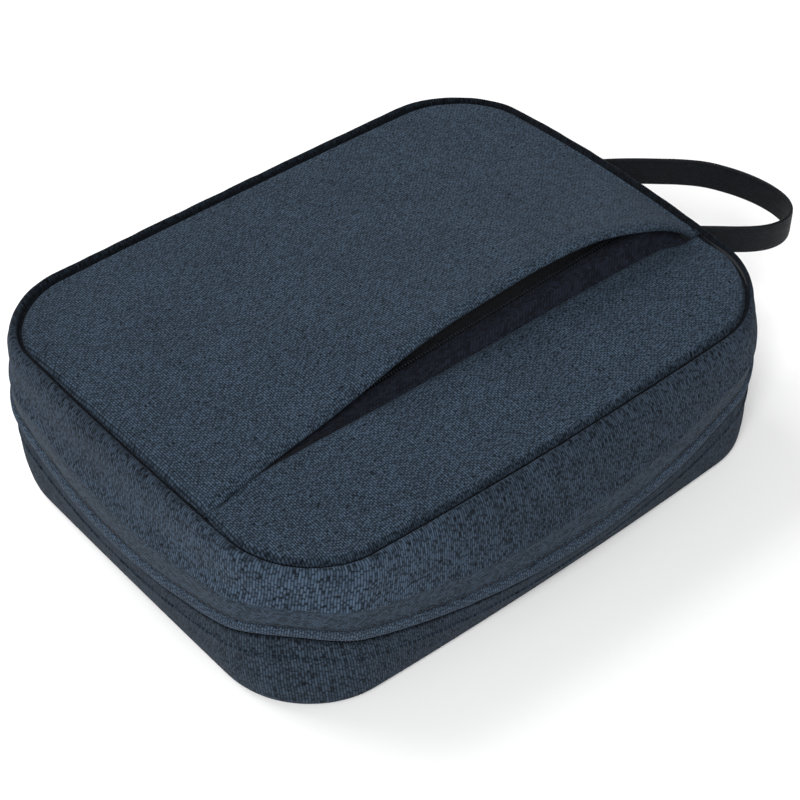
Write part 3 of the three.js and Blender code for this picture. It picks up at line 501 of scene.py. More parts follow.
def plate(name, outline, top, bottom, mats, rows=14, edge=0.5, cloth_turn=False, centre=None):
    """A soft layer inside an outline (k,2): top and bottom are functions of x, y; its edge is rounded over `edge`."""
    o = np.asarray(outline, float)[:, :2]
    c = o.mean(0) if centre is None else np.asarray(centre, float)
    K = len(o)
    size = np.linalg.norm(o - c, axis=1).mean()
    rs = 1 - np.concatenate([[0, .25, .6], np.geomspace(1.2, size * 0.94, rows)]) / size
    rs = rs[rs > 0.04]
    pts = [c + (o - c) * r for r in rs]
    dist = [(1 - r) * size for r in rs]
    tz, bz = [], []
    for p, d in zip(pts, dist):
        t, b = np.broadcast_to(top(p[:, 0], p[:, 1]), (K,)), np.broadcast_to(bottom(p[:, 0], p[:, 1]), (K,))
        h = (t - b) / 2
        e = np.sqrt(np.clip(1 - (1 - np.clip(d / edge, 0, 1)) ** 2, 0.0, 1)) if edge > 0 else 1.0
        mid = (t + b) / 2
        tz.append(mid + h * max(float(e), 0.25))
        bz.append(mid - h * max(float(e), 0.25))
    R = len(pts)
    V = [np.column_stack([p, z]) for p, z in zip(pts, tz)] + [np.column_stack([p, z]) for p, z in zip(pts, bz)]
    V = np.vstack(V + [[[c[0], c[1], float(np.mean(top(c[:1], c[1:])))]], [[c[0], c[1], float(np.mean(bottom(c[:1], c[1:])))]]])
    ids = np.arange(2 * R * K).reshape(2, R, K)
    faces = []
    j = np.arange(K)
    j2 = (j + 1) % K
    for r in range(R - 1):
        faces += np.stack([ids[0, r, j], ids[0, r, j2], ids[0, r + 1, j2], ids[0, r + 1, j]], 1).tolist()
        faces += np.stack([ids[1, r, j2], ids[1, r, j], ids[1, r + 1, j], ids[1, r + 1, j2]], 1).tolist()
    faces += np.stack([ids[0, 0, j2], ids[0, 0, j], ids[1, 0, j], ids[1, 0, j2]], 1).tolist()
    ct, cb = 2 * R * K, 2 * R * K + 1
    faces += np.stack([ids[0, R - 1, j], ids[0, R - 1, j2], np.full(K, ct)], 1).tolist()
    faces += np.stack([ids[1, R - 1, j2], ids[1, R - 1, j], np.full(K, cb)], 1).tolist()
    C = V.copy()
    C[:, 2] = 0
    if cloth_turn:
        C = C[:, [1, 0, 2]]
    return build(name, V, faces, C, mats)


def rounded(x0, x1, y0, y1, r, step=1.6, corner=9):
    """Outline of a rounded rectangle, counter-clockwise."""
    pts = []
    for (cx, cy, a0), (ex, ey) in zip(
            [(x1 - r, y0 + r, -90), (x1 - r, y1 - r, 0), (x0 + r, y1 - r, 90), (x0 + r, y0 + r, 180)],
            [(x1, y1 - r), (x0 + r, y1), (x0, y0 + r), (x1 - r, y0)]):
        for k in range(corner):
            a = math.radians(a0 + 90 * k / (corner - 1))
            pts.append((cx + r * math.cos(a), cy + r * math.sin(a)))
        last = pts[-1]
        d = math.hypot(ex - last[0], ey - last[1])
        for k in range(1, int(d / step)):
            f = k / int(d / step)
            pts.append((last[0] + (ex - last[0]) * f, last[1] + (ey - last[1]) * f))
    return np.array(pts)


def inward(points, d):
    return points - OUT * d


# ------------------------------------------------------------------ materials
class Mat:
    def __init__(self, name, roughness=0.9, metallic=0.0, **sockets):
        self.m = bpy.data.materials.new(name)
        self.m.use_nodes = True
        self.t = self.m.node_tree
        self.b = next(n for n in self.t.nodes if n.type == "BSDF_PRINCIPLED")
        self.b.inputs["Roughness"].default_value = roughness
        self.b.inputs["Metallic"].default_value = metallic
        for k, v in sockets.items():
            self.b.inputs[k.replace("_", " ")].default_value = v

    def put(self, socket, value):
        if isinstance(value, (int, float)):
            socket.default_value = value
        elif isinstance(value, (tuple, list)):
            socket.default_value = value if len(value) == len(socket.default_value) else (*value, 1.0)
        else:
            self.t.links.new(value, socket)

    def math(self, op, a, b=0.0, c=None, clamp=False):
        n = self.t.nodes.new("ShaderNodeMath")
        n.operation = op
        n.use_clamp = clamp
        self.put(n.inputs[0], a)
        self.put(n.inputs[1], b)
        if c is not None:
            self.put(n.inputs[2], c)
        return n.outputs[0]

    def xyz(self, x, y, z=0.0):
        n = self.t.nodes.new("ShaderNodeCombineXYZ")
        for s, v in zip(n.inputs, (x, y, z)):
            self.put(s, v)
        return n.outputs[0]

    def cloth(self):
        n = self.t.nodes.new("ShaderNodeAttribute")
        n.attribute_name = "cloth"
        s = self.t.nodes.new("ShaderNodeSeparateXYZ")
        self.t.links.new(n.outputs["Vector"], s.inputs[0])
        return s.outputs[0], s.outputs[1], s.outputs[2]

    def position(self):
        n = self.t.nodes.new("ShaderNodeTexCoord")
        return n.outputs["Object"]

    def noise(self, vector, scale=1.0, detail=2.0, rough=0.5):
        n = self.t.nodes.new("ShaderNodeTexNoise")
        n.inputs["Scale"].default_value = scale
        n.inputs["Detail"].default_value = detail
        n.inputs["Roughness"].default_value = rough
        self.t.links.new(vector, n.inputs["Vector"])
        return n.outputs["Fac"]

    def white(self, vector):
        n = self.t.nodes.new("ShaderNodeTexWhiteNoise")
        n.noise_dimensions = "3D"
        self.t.links.new(vector, n.inputs["Vector"])
        return n.outputs["Value"]

    def ramp(self, fac, stops):
        n = self.t.nodes.new("ShaderNodeValToRGB")
        el = n.color_ramp.elements
        while len(el) < len(stops):
            el.new(0.5)
        for e, (p, c) in zip(el, stops):
            e.position = p
            e.color = (*c, 1)
        self.t.links.new(fac, n.inputs[0])
        return n.outputs[0]

    def range(self, v, a, b, c, d):
        n = self.t.nodes.new("ShaderNodeMapRange")
        self.put(n.inputs[0], v)
        for k, x in enumerate((a, b, c, d)):
            n.inputs[k + 1].default_value = x
        return n.outputs[0]

    def mix(self, fac, a, b, mode="MIX"):
        n = self.t.nodes.new("ShaderNodeMix")
        n.data_type = "RGBA"
        n.blend_type = mode
        self.put(n.inputs[0], fac)
        self.put(n.inputs[6], a)
        self.put(n.inputs[7], b)
        return n.outputs[2]

    def color(self, v):
        self.put(self.b.inputs["Base Color"], v)

    def bump(self, height, strength=0.6, distance=0.0003):
        n = self.t.nodes.new("ShaderNodeBump")
        n.inputs["Strength"].default_value = strength
        n.inputs["Distance"].default_value = distance
        self.t.links.new(height, n.inputs["Height"])
        self.t.links.new(n.outputs[0], self.b.inputs["Normal"])

    def rough(self, v):
        self.put(self.b.inputs["Roughness"], v)


def lin(r, g, b):
    f = lambda c: (c / 255 / 12.92) if c / 255 <= 0.04045 else ((c / 255 + 0.055) / 1.055) ** 2.4
    return (f(r), f(g), f(b))


def melange(name, dark, light, pitch=1.0, dash=1.1, contrast=1.0, vary=0.9, bump=0.7, sheen=0.035, rough=0.9):
    """Ribbed cloth of two-tone thread: ribs along the cloth's second coordinate, broken into short light and dark dashes."""
    k = Mat(name, roughness=rough, Sheen_Weight=sheen, Sheen_Roughness=0.5, Specular_IOR_Level=0.08)
    k.b.inputs["Sheen Tint"].default_value = (0.62, 0.72, 0.9, 1)
    u, v, w = k.cloth()
    warp = k.noise(k.xyz(k.math("MULTIPLY", u, 0.11), k.math("MULTIPLY", v, 0.07), w), 1.0, 2.0)
    u2 = k.math("MULTIPLY_ADD", warp, 0.9, u)
    ru = k.math("DIVIDE", u2, pitch)
    ri = k.math("FLOOR", ru)
    rf = k.math("FRACT", ru)
    rib = k.math("SINE", k.math("MULTIPLY", rf, math.pi))
    vv = k.math("MULTIPLY_ADD", ri, 0.5, k.math("DIVIDE", v, dash))
    vv = k.math("MULTIPLY_ADD", k.noise(k.xyz(k.math("MULTIPLY", ri, 0.6), k.math("MULTIPLY", v, 0.3), w), 1.0, 2.0), 2.6, vv)
    di = k.math("FLOOR", vv)
    df = k.math("FRACT", vv)
    value = k.white(k.xyz(ri, di, k.math("ADD", w, 7.0)))
    knot = k.math("POWER", k.math("SINE", k.math("MULTIPLY", df, math.pi)), 0.7)
    fibre = k.noise(k.xyz(k.math("MULTIPLY", u, 5.5), k.math("MULTIPLY", v, 1.6), w), 1.0, 3.0, 0.6)
    cloud = k.noise(k.xyz(k.math("MULTIPLY", u, 0.035), k.math("MULTIPLY", v, 0.025), w), 1.0, 3.0)
    tone = k.math("MULTIPLY", k.math("MULTIPLY_ADD", value, vary, 1.0 - 0.5 * vary), knot)
    tone = k.math("MULTIPLY_ADD", k.math("SUBTRACT", fibre, 0.5), 0.7, tone)
    tone = k.math("MULTIPLY", tone, contrast, clamp=True)
    col = k.mix(tone, dark, light)
    shade = k.math("MULTIPLY_ADD", rib, 0.9, 0.28)
    shade = k.math("MULTIPLY", shade, k.range(cloud, 0.3, 0.7, 0.93, 1.08))
    # painted shade: a per-vertex mesh attribute darkens the cloth colour here
    at = k.t.nodes.new("ShaderNodeAttribute")
    at.attribute_name = "painted_shade"
    shade = k.math("MULTIPLY", shade, k.math("SUBTRACT", 1.0, at.outputs["Fac"]))
    col = k.mix(1.0, col, k.xyz(shade, shade, shade), "MULTIPLY")
    k.color(col)
    k.rough(k.range(fibre, 0.3, 0.7, rough - 0.06, min(1, rough + 0.08)))
    height = k.math("MULTIPLY_ADD", rib, 0.75, k.math("MULTIPLY", k.math("MULTIPLY", knot, value), 0.35))
    height = k.math("MULTIPLY_ADD", fibre, 0.25, height)
    k.bump(height, bump, 0.00035)
    return k.m


def twill(name, dark, light, pitch=0.75, band=5.0, chevron=True, bump=0.6, rough=0.8):
    """Zip tape: fine diagonal lines that turn at each band into a herringbone."""
    k = Mat(name, roughness=rough, Sheen_Weight=0.03, Sheen_Roughness=0.5, Specular_IOR_Level=0.1)
    u, v, w = k.cloth()
    zig = k.math("PINGPONG", v, band) if chevron else v
    wob = k.noise(k.xyz(k.math("MULTIPLY", u, 0.5), k.math("MULTIPLY", v, 0.5), w), 1.0, 2.0)
    d = k.math("MULTIPLY_ADD", zig, 0.85, u)
    d = k.math("MULTIPLY_ADD", wob, 0.8, d)
    q = k.math("DIVIDE", d, pitch)
    line = k.math("SINE", k.math("MULTIPLY", k.math("FRACT", q), math.pi))
    cell = k.white(k.xyz(k.math("FLOOR", q), k.math("FLOOR", k.math("DIVIDE", v, 0.9)), w))
    fine = k.noise(k.xyz(k.math("MULTIPLY", u, 3.0), k.math("MULTIPLY", v, 3.0), w), 1.0, 3.0, 0.6)
    tone = k.math("MULTIPLY_ADD", cell, 0.6, k.math("MULTIPLY", line, 0.4))
    tone = k.math("MULTIPLY", tone, k.range(fine, 0.3, 0.7, 0.4, 1.5), clamp=True)
    k.color(k.mix(tone, dark, light))
    k.rough(k.range(fine, 0.3, 0.7, rough - 0.1, rough + 0.1))
    k.bump(k.math("MULTIPLY_ADD", line, 0.8, k.math("MULTIPLY", fine, 0.3)), bump, 0.0003)
    return k.m


def woven(name, dark, light, pitch=0.6, rough=0.8, bump=0.4, sheen=0.1):
    """Plain weave: over-and-under checks of thread."""
    k = Mat(name, roughness=rough, Sheen_Weight=sheen, Sheen_Roughness=0.5, Specular_IOR_Level=0.35)
    u, v, w = k.cloth()
    a, b = k.math("DIVIDE", u, pitch), k.math("DIVIDE", v, pitch)
    over = k.math("MODULO", k.math("ABSOLUTE", k.math("ADD", k.math("FLOOR", a), k.math("FLOOR", b))), 2.0)
    sa = k.math("SINE", k.math("MULTIPLY", k.math("FRACT", a), math.pi))
    sb = k.math("SINE", k.math("MULTIPLY", k.math("FRACT", b), math.pi))
    h1, h2 = k.math("MULTIPLY", sa, over), k.math("MULTIPLY", sb, k.math("SUBTRACT", 1.0, over))
    h = k.math("ADD", h1, h2)
    rnd = k.white(k.xyz(k.math("FLOOR", a), k.math("FLOOR", b), w))
    fine = k.noise(k.xyz(k.math("MULTIPLY", u, 0.25), k.math("MULTIPLY", v, 0.25), w), 1.0, 4.0, 0.6)
    tone = k.math("MULTIPLY_ADD", rnd, 0.35, k.math("MULTIPLY", h, 0.55))
    tone = k.math("MULTIPLY", tone, k.range(fine, 0.3, 0.7, 0.75, 1.2), clamp=True)
    k.color(k.mix(tone, dark, light))
    k.rough(k.range(fine, 0.3, 0.7, rough - 0.08, min(1, rough + 0.1)))
    k.bump(k.math("MULTIPLY_ADD", fine, 0.3, h), bump, 0.0002)
    return k.m


def webbing(name, dark, light, rough=0.62):
    """Webbing: rows of thread along the strap with fine cross ribs."""
    k = Mat(name, roughness=rough, Sheen_Weight=0.03, Sheen_Roughness=0.5, Specular_IOR_Level=0.12)
    u, v, w = k.cloth()  # u along the strap, v across it
    a = k.math("DIVIDE", u, 0.9)
    b = k.math("DIVIDE", v, 1.0)
    a = k.math("MULTIPLY_ADD", k.math("MODULO", k.math("ABSOLUTE", k.math("FLOOR", b)), 2.0), 0.5, a)
    sa = k.math("SINE", k.math("MULTIPLY", k.math("FRACT", a), math.pi))
    sb = k.math("SINE", k.math("MULTIPLY", k.math("FRACT", b), math.pi))
    rnd = k.white(k.xyz(k.math("FLOOR", a), k.math("FLOOR", b), w))
    fine = k.noise(k.xyz(k.math("MULTIPLY", u, 0.12), k.math("MULTIPLY", v, 0.5), w), 1.0, 4.0, 0.6)
    h = k.math("MULTIPLY", sa, sb)
    tone = k.math("MULTIPLY_ADD", rnd, 0.3, k.math("MULTIPLY", h, 0.6))
    tone = k.math("MULTIPLY", tone, k.range(fine, 0.3, 0.7, 0.75, 1.2), clamp=True)
    k.color(k.mix(tone, dark, light))
    k.rough(k.range(fine, 0.3, 0.7, rough - 0.08, rough + 0.12))
    k.bump(h, 0.5, 0.0003)
    return k.m


def thread(name, dark, light):
    k = Mat(name, roughness=0.55, Specular_IOR_Level=0.4)
    u, v, w = k.cloth()
    tw = k.math("SINE", k.math("MULTIPLY", k.math("ADD", v, k.math("MULTIPLY", u, 0.3)), 14.0))
    n = k.white(k.xyz(u, 1.0, w))
    k.color(k.mix(k.math("MULTIPLY_ADD", tw, 0.25, k.math("MULTIPLY", n, 0.5), clamp=True), dark, light))
    k.rough(k.range(n, 0, 1, 0.5, 0.7))
    k.bump(tw, 0.4, 0.0001)
    return k.m


def foam(name, dark, light):
    k = Mat(name, roughness=0.95, Subsurface_Weight=0.0, Specular_IOR_Level=0.2)
    p = k.position()
    n = k.t.nodes.new("ShaderNodeTexVoronoi")
    n.inputs["Scale"].default_value = 900
    k.t.links.new(p, n.inputs["Vector"])
    f = k.noise(p, 300, 4)
    k.color(k.mix(k.math("MULTIPLY", f, n.outputs["Distance"], clamp=True), dark, light))
    k.rough(k.range(f, 0.3, 0.7, 0.88, 1.0))
    k.bump(n.outputs["Distance"], 0.5, 0.0004)
    return k.m


def coilmat(name, dark, light):
    k = Mat(name, roughness=0.38, Specular_IOR_Level=0.5)
    p = k.position()
    f = k.noise(p, 420, 3)
    k.color(k.mix(f, dark, light))
    k.rough(k.range(f, 0.3, 0.7, 0.3, 0.5))
    k.bump(f, 0.15, 0.0001)
    return k.m


def metal(name, dark, light):
    """Dark plated metal: brushed, brighter where fingers rub its edges."""
    k = Mat(name, roughness=0.36, metallic=0.92)
    p = k.position()
    f = k.noise(p, 700, 4)
    s = k.t.nodes.new("ShaderNodeMapping")
    s.inputs["Scale"].default_value = (60, 900, 900)
    k.t.links.new(p, s.inputs["Vector"])
    br = k.noise(s.outputs[0], 4, 3)
    g = k.t.nodes.new("ShaderNodeNewGeometry")
    edge = k.range(g.outputs["Pointiness"], 0.5, 0.62, 0.0, 1.0)
    col = k.mix(f, dark, light)
    col = k.mix(k.math("MULTIPLY", edge, 0.6, clamp=True), col, (0.32, 0.33, 0.34))
    k.color(col)
    k.rough(k.range(br, 0.3, 0.7, 0.28, 0.5))
    k.bump(br, 0.12, 0.0001)
    return k.m


M_TOP = melange("fabric_panel", lin(3, 6, 9), lin(56, 70, 85), pitch=0.88, dash=1.6, contrast=0.92, vary=0.7, bump=0.7)
# a lighter copy of the panel cloth: painted light, kept only at the front-left corner where the painted side shade is
# left out
M_WALL_LIT = melange("fabric_gusset_painted_light", lin(5, 9, 13), lin(64, 79, 96), pitch=0.95, dash=3.6, contrast=0.95, vary=0.6, bump=0.7)
# a darker copy of the gusset cloth: painted shade for the base walls
M_BASE_SHADED = melange("fabric_base_painted_shade", lin(5, 9, 13), lin(49, 61, 74), pitch=0.95, dash=3.6, contrast=0.9, vary=0.6, bump=0.6)
M_LIP = melange("fabric_lip", lin(21, 27, 35), lin(62, 75, 90), pitch=0.9, dash=1.4, contrast=0.9, vary=0.6, bump=0.4)
M_TAPE = twill("zip_tape_herringbone", lin(4, 8, 12), lin(54, 68, 83), pitch=1.1, band=2.4)
# a darker copy of the zip tape: painted shade for the pocket mouth under the flap
M_POCKET_TAPE_SHADED = twill("pocket_tape_twill_painted_shade", lin(2, 3, 6), lin(29, 34, 46), pitch=1.5, band=3.2)
M_LINING = woven("lining_plain", lin(34, 38, 45), lin(70, 76, 86))
# a darker copy of the lining: painted shade for the pocket's inside, the backs of flap and panel and the cover wall's
# back
M_INNER_SHADED = woven("pocket_lining_painted_shade", lin(14, 16, 20), lin(34, 38, 45))
M_BIND = woven("binding_tape", lin(16, 20, 27), lin(44, 52, 64), pitch=0.8, bump=0.6)
M_NET = woven("mesh_net", lin(15, 17, 20), lin(48, 52, 58), pitch=0.5, rough=0.6)
M_FOAM = foam("foam_open_cell", lin(34, 36, 40), lin(66, 68, 73))
M_WEB = webbing("strap_webbing", lin(4, 5, 7), lin(27, 32, 38))
M_THREAD = thread("sewing_thread", lin(9, 12, 18), lin(40, 48, 60))
M_THREAD_GREY = thread("lining_thread", lin(40, 44, 50), lin(84, 90, 98))
M_COIL = coilmat("coil_nylon", lin(14, 17, 22), lin(30, 35, 42))
M_METAL = metal("dark_plated_metal", lin(52, 55, 60), lin(84, 87, 92))

up3 = np.array([0, 0, 1.0])
PIECES = {}


def done(ob, body, slot, *nodes):
    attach(ob, body)
    if nodes:
        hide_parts(*nodes)
    PIECES[ob.name] = ob
    return ob


# ------------------------------------------------------------------ cover: wall
sel = AROUND
arc_u = ARC[sel]
HEAD_Q = np.array([0, .16, .32, .48, .64, .82])
JOIN = smooth(np.minimum(np.abs(np.arange(N) - A_START), np.abs(np.arange(N) - A_END)), 0, 9)


def cover_side(st, depth):
    """The cover's wall with the roll beside its seam; depth (n,m) runs down from the seam in mm."""
    w = STRAP_SIDE[st][:, None]
    join = cover_wall(st, 2.4 / COVER_L[st][:, None])[:, 0] - S[st]
    past = cover_wall(st, 3.0 / COVER_L[st][:, None])[:, 0] - S[st]
    side_of = lambda q: np.stack([np.sum(q[..., :2] * OUT[st][:, :2], -1), q[..., 2]], -1)
    e, g_ = side_of(join), unit(side_of(past) - side_of(join))
    a0 = np.array([0.60, -3.0]) + 0 * e
    c1, c2 = a0 + np.array([0.0, 3.7]), e - g_ * 1.9
    q = HEAD_Q[None, :, None]
    head2 = ((1 - q) ** 3 * a0[:, None] + 3 * (1 - q) ** 2 * q * c1[:, None] + 3 * (1 - q) * q * q * c2[:, None] + q ** 3 * e[:, None])
    head3 = S[st][:, None] + OUT[st][:, None] * head2[..., :1] + up3 * head2[..., 1:]
    wall = cover_wall(st, depth / COVER_L[st][:, None])
    tuck = S[st][:, None] + OUT[st][:, None] * np.array([-1.25, -.5])[None, :, None] + up3 * np.array([-3.9, -3.55])[None, :, None]
    g = np.concatenate([tuck, head3, wall], 1)
    d = np.concatenate([np.full((len(st), 1), -3.6), np.full((len(st), 1), -2.7), np.broadcast_to(-1.6 + 4.0 * HEAD_Q, (len(st), len(HEAD_Q))), depth], 1)
    # the strap side and the back show a second, lower ridge under the first
    ridge = w * (0.55 * np.exp(-((d - 1.2) / 1.3) ** 2) - 0.35 * np.exp(-((d - 3.1) / 0.6) ** 2) + 0.9 * np.exp(-((d - 4.6) / 1.2) ** 2))
    out = ridge * smooth(d, -1.4, 0.3)
    u = ARC[st][:, None] + 0 * d
    out = out + (0.45 * noise2(u / 46, d / 24, 3) + 0.22 * noise2(u / 17, d / 12, 5)) * smooth(d, 0, 6) * JOIN[st][:, None]
    out = out + 0.26 * noise2(u / 5.2, d / 9, 11) * np.exp(-np.maximum(d, 0) / 5.0) * smooth(d, 0.2, 2) * JOIN[st][:, None]
    out = out + ROLL_AT[st][:, None] * 0.9 * np.exp(-((d - 1.5) / 2.2) ** 2) * smooth(d, -1.4, 0.3)
    lift = (w * 0.5 + 0.7 * ROLL_AT[st][:, None]) * np.exp(-((d - 0.5) / 1.4) ** 2) + 0.16 * noise2(u / 6.5, d * 0, 14) * np.exp(-(d / 2.0) ** 2)
    out = out - 1.9 * CORNER_FR[st][:, None] * np.exp(-((d - 5.5) / 5.0) ** 2) * smooth(d, 0, 2)
    t_ = (COVER_L[st] - 15.0)[:, None] - d
    crease = 0.11 * np.sin(t_ * 2 * np.pi / 2.3 + 0.8 * noise2(u / 30, t_ * 0, 15)) * np.exp(-((t_ - 4.2) / 3.2) ** 2)
    out = out + crease * CREASE[st][:, None]
    g = g + OUT[st][:, None] * out[..., None] + up3 * lift[..., None]
    return g, u, d


def wall_thick(d, full=1.3):
    return 0.35 + (full - 0.35) * smooth(d, -0.5, 5.0)


k_fr = START["corner_front_right"] + 26
CORNER_FR = np.exp(-((np.arange(N) - k_fr) / 17.0) ** 2)
CREASE = (0.25 + 0.75 * np.clip(noise2(ARC / 60, ARC * 0, 16) + .35, 0, 1)) * smooth(np.arange(N), START["left"], START["left"] + 20) * (1 - smooth(np.arange(N), START["right"] - 10, START["right"] + 10))
d_top = 15.0
share = np.linspace(0, 1, 22)[None] ** 1.1
depth = 2.9 + (COVER_L[sel] - d_top - 2.9)[:, None] * share
grid, u2, v = cover_side(sel, depth)
tail = (COVER_L[sel] - d_top)[:, None] - v
# the lower edge is turned under, so it stands a little proud of the tape and puckers along its stitching
grid += OUT[sel][:, None] * (0.42 * np.exp(-(tail / 2.2) ** 2) + 0.16 * noise2(u2 / 6.5, tail / 9, 12) * np.exp(-tail / 4.0))[..., None]
cl = np.stack([u2, v, 0 * v], -1)
CORNER_FL = np.exp(-((np.arange(N) - START["corner_front_left"] - 26) / 34.0) ** 2)
# painted shade: each side of the wall darkened for the light it gets, all but the front-left corner
SIDE_PAINTED_SHADE = side_mix(dict(back=.3, left=.34, front=.40, right=.32)) * (1 - CORNER_FL)
# painted shade on the roll beside the seam, strongest on the strap side and the back
RIM_SHADE_AT = side_mix(dict(back=.8, left=.25, front=0.0, right=1.0))
# painted shade: the rim, the seam groove and the tuck under it darkened, plus the side shade
rim_painted_shade = lambda st, d: np.minimum(0.9, 0.5 * RIM_SHADE_AT[st][:, None] * (1 - smooth(d, 3.5, 8.5)) + 0.12 * np.exp(-((d - 0.3) / 1.2) ** 2) + 0.5 * (1 - smooth(d, -1.6, -0.3)) + SIDE_PAINTED_SHADE[st][:, None])
cover_gusset = shell("cover_wall_fabric", grid, wall_thick(v), OUT[sel][:, None] + 0 * grid, cl, [M_WALL_LIT, M_INNER_SHADED], back_mat=1, shade=rim_painted_shade(sel, v))
done(cover_gusset, "cover", "outer_fabric", "cover_gusset")

# ------------------------------------------------------------------ zip tape and lip of the cover
RUN = smooth(Z[:, 0], 100, 119) * (1 - smooth(np.abs(Z[:, 1] + 1), 50, 66))  # where the slider travels


def tape_rows(d0, d1, count):
    return np.linspace(d0, d1, count)


ds = tape_rows(16.2, 3.0, 12)
g = cover_up(sel, ds[None] + 0 * sel[:, None])
lift = -0.2 - 0.25 * smooth(ds, 13.5, 16)[None] + 0.14 * noise2(u2[:, :1] / 7, ds[None] / 5, 21)
lift = lift * (1 - 0.5 * RUN[sel][:, None])
g = g + OUT[sel][:, None] * lift[..., None]
cl = np.stack([u2[:, :1] + 0 * g[..., 0], ds[None] + 0 * g[..., 0], 0 * g[..., 0] + 2], -1)
cover_tape = shell("cover_zip_tape_cloth", g, 0.7, OUT[sel][:, None] + 0 * g, cl, [M_TAPE, M_BIND], back_mat=1)
done(cover_tape, "cover", "zip_tape", "cover_zip_tape")

# folded lip that hides the coil, except where the slider runs
not_run = np.array([k for k in sel if RUN[k] < 0.5])
first_lip = not_run[not_run < START["right"] + 42]
second_lip = not_run[not_run >= START["right"] + 42]


def lip(name, st, fade_end):
    d = np.array([4.4, 4.2, 3.7, 3.0, 2.2, 1.5, 0.9, 0.4, 0.1, 0.05, 0.5])
    o = np.array([-.3, .28, .70, .95, 1.08, 1.14, 1.10, .90, .52, 0.05, -.25])
    n = len(st)
    ends = np.minimum(1, np.minimum(np.abs(np.arange(n) - (n - 1 if fade_end else 0)), 14) / 14)
    ends = ends * ends * (3 - 2 * ends)
    low = 0.1 + (1 - ends) * 3.2
    dd = 4.4 - (4.4 - d[None]) * ((4.4 - low) / 4.3)[:, None]
    oo = o[None] * (0.35 + 0.65 * ends[:, None])
    p = cover_up(st, dd)
    wob = 0.10 * noise2(ARC[st][:, None] / 5.5, d[None] / 3, 31) + 0.12 * noise2(ARC[st][:, None] / 19, d[None] * 0, 32)
    p = p + OUT[st][:, None] * (0.45 + oo + wob)[..., None]
    c = np.stack([ARC[st][:, None] + 0 * dd, 60 + np.cumsum(np.full_like(dd, 0.6), 1), 0 * dd + 3], -1)
    ob = shell(name, p, 0.75, OUT[st][:, None] * 1.0 + 0 * p, c, [M_LIP])
    return done(ob, "cover", "outer_fabric")


lip("cover_zip_lip_front", first_lip, True)
lip("cover_zip_lip_back", second_lip, False)

# stitch row above the lip
st = sel
sp = cover_up(st, np.array([[5.2]]))[:, 0] + OUT[st] * 0.02
stitches_cover = stitches("cover_zip_stitching", sp, OUT[st], [M_THREAD], pitch=3.0, length=2.1, radius=0.30, sink=0.12)
done(stitches_cover, "cover", "outer_fabric")

# ------------------------------------------------------------------ base wall
q = np.concatenate([[0, .03, .08], np.linspace(.16, 1, 9)])
first_d = 2.3 + 0.4 * RUN[sel][:, None]
dd = first_d + (11.4 - first_d) * q[None]
g = base_down(sel, dd)
lift = -0.1 + 0.45 * (1 - RUN[sel][:, None]) * np.exp(-(np.maximum(dd - 2.6, 0) / 2.6) ** 2) - 0.35 * np.exp(-((dd - first_d) / 0.35) ** 2)
lift = lift + 0.10 * noise2(u2[:, :1] / 8, dd / 6, 41) * (1 - 0.6 * RUN[sel][:, None])
g = g + OUT[sel][:, None] * lift[..., None]
cl = np.stack([u2[:, :1] + 0 * dd, dd, 0 * dd + 4], -1)
# painted shade: each side of the base wall darkened for the light it gets, all but the front-left corner
BASE_PAINTED_SHADE = side_mix(dict(back=.25, left=.28, front=.22, right=.22)) * (1 - CORNER_FL)
# painted shade: the parting groove under the lip darkened along the tape's top edge
ob = shell("base_zip_tape_cloth", g, 0.7, OUT[sel][:, None] + 0 * g, cl, [M_BASE_SHADED, M_BIND], back_mat=1, shade=np.minimum(0.9, BASE_PAINTED_SHADE[sel][:, None] + 0.5 * np.exp(-((dd - first_d) / 1.1) ** 2)))
done(ob, "base", "zip_tape", "base_zip_tape")

d0 = 10.6
ts = np.linspace(0, 1, 13)
t_rows = (d0 / BASE_L[sel])[:, None] * (1 - ts[None]) + ts[None] * 0.965
g = base_wall(sel, t_rows)
down = t_rows * BASE_L[sel][:, None] - d0
swell = 0.5 * noise2(u2[:, :1] / 40, down / 20, 43) + 0.25 * noise2(u2[:, :1] / 15, down / 11, 44)
swell = swell * smooth(down, 0, 5)
edge = 0.42 * np.exp(-(down / 2.2) ** 2) + 0.18 * noise2(u2[:, :1] / 6.5, down / 9, 45) * np.exp(-down / 4)
g = g + OUT[sel][:, None] * (swell * 0.8 + edge)[..., None]
foot_profile = [(0.35, 2.55), (1.05, 1.45), (2.1, .72), (3.6, .28), (5.4, .12), (7.4, .1)]
under = np.stack([F[sel] - OUT[sel] * a + up3 * (b - F[sel][:, 2:3]) for a, b in foot_profile], 1)
under[..., 2] = np.array([b for _, b in foot_profile])[None]
grid = np.concatenate([g, under], 1)
vv = np.concatenate([down, down[:, -1:] + np.array([[1.4, 2.7, 4.0, 5.6, 7.4, 9.4]])], 1)
cl = np.stack([u2[:, :1] + 0 * vv, vv + 100, 0 * vv + 1], -1)
fr = np.concatenate([OUT[sel][:, None] + 0 * g, OUT[sel][:, None] * 0.4 - up3 + 0 * under], 1)
# painted shade on the base wall, as on its tape
ob = shell("base_wall_fabric", grid, 1.3, fr, cl, [M_BASE_SHADED, M_LINING], back_mat=1, shade=BASE_PAINTED_SHADE[sel][:, None] + 0 * vv)
done(ob, "base", "outer_fabric", "base_gusset")

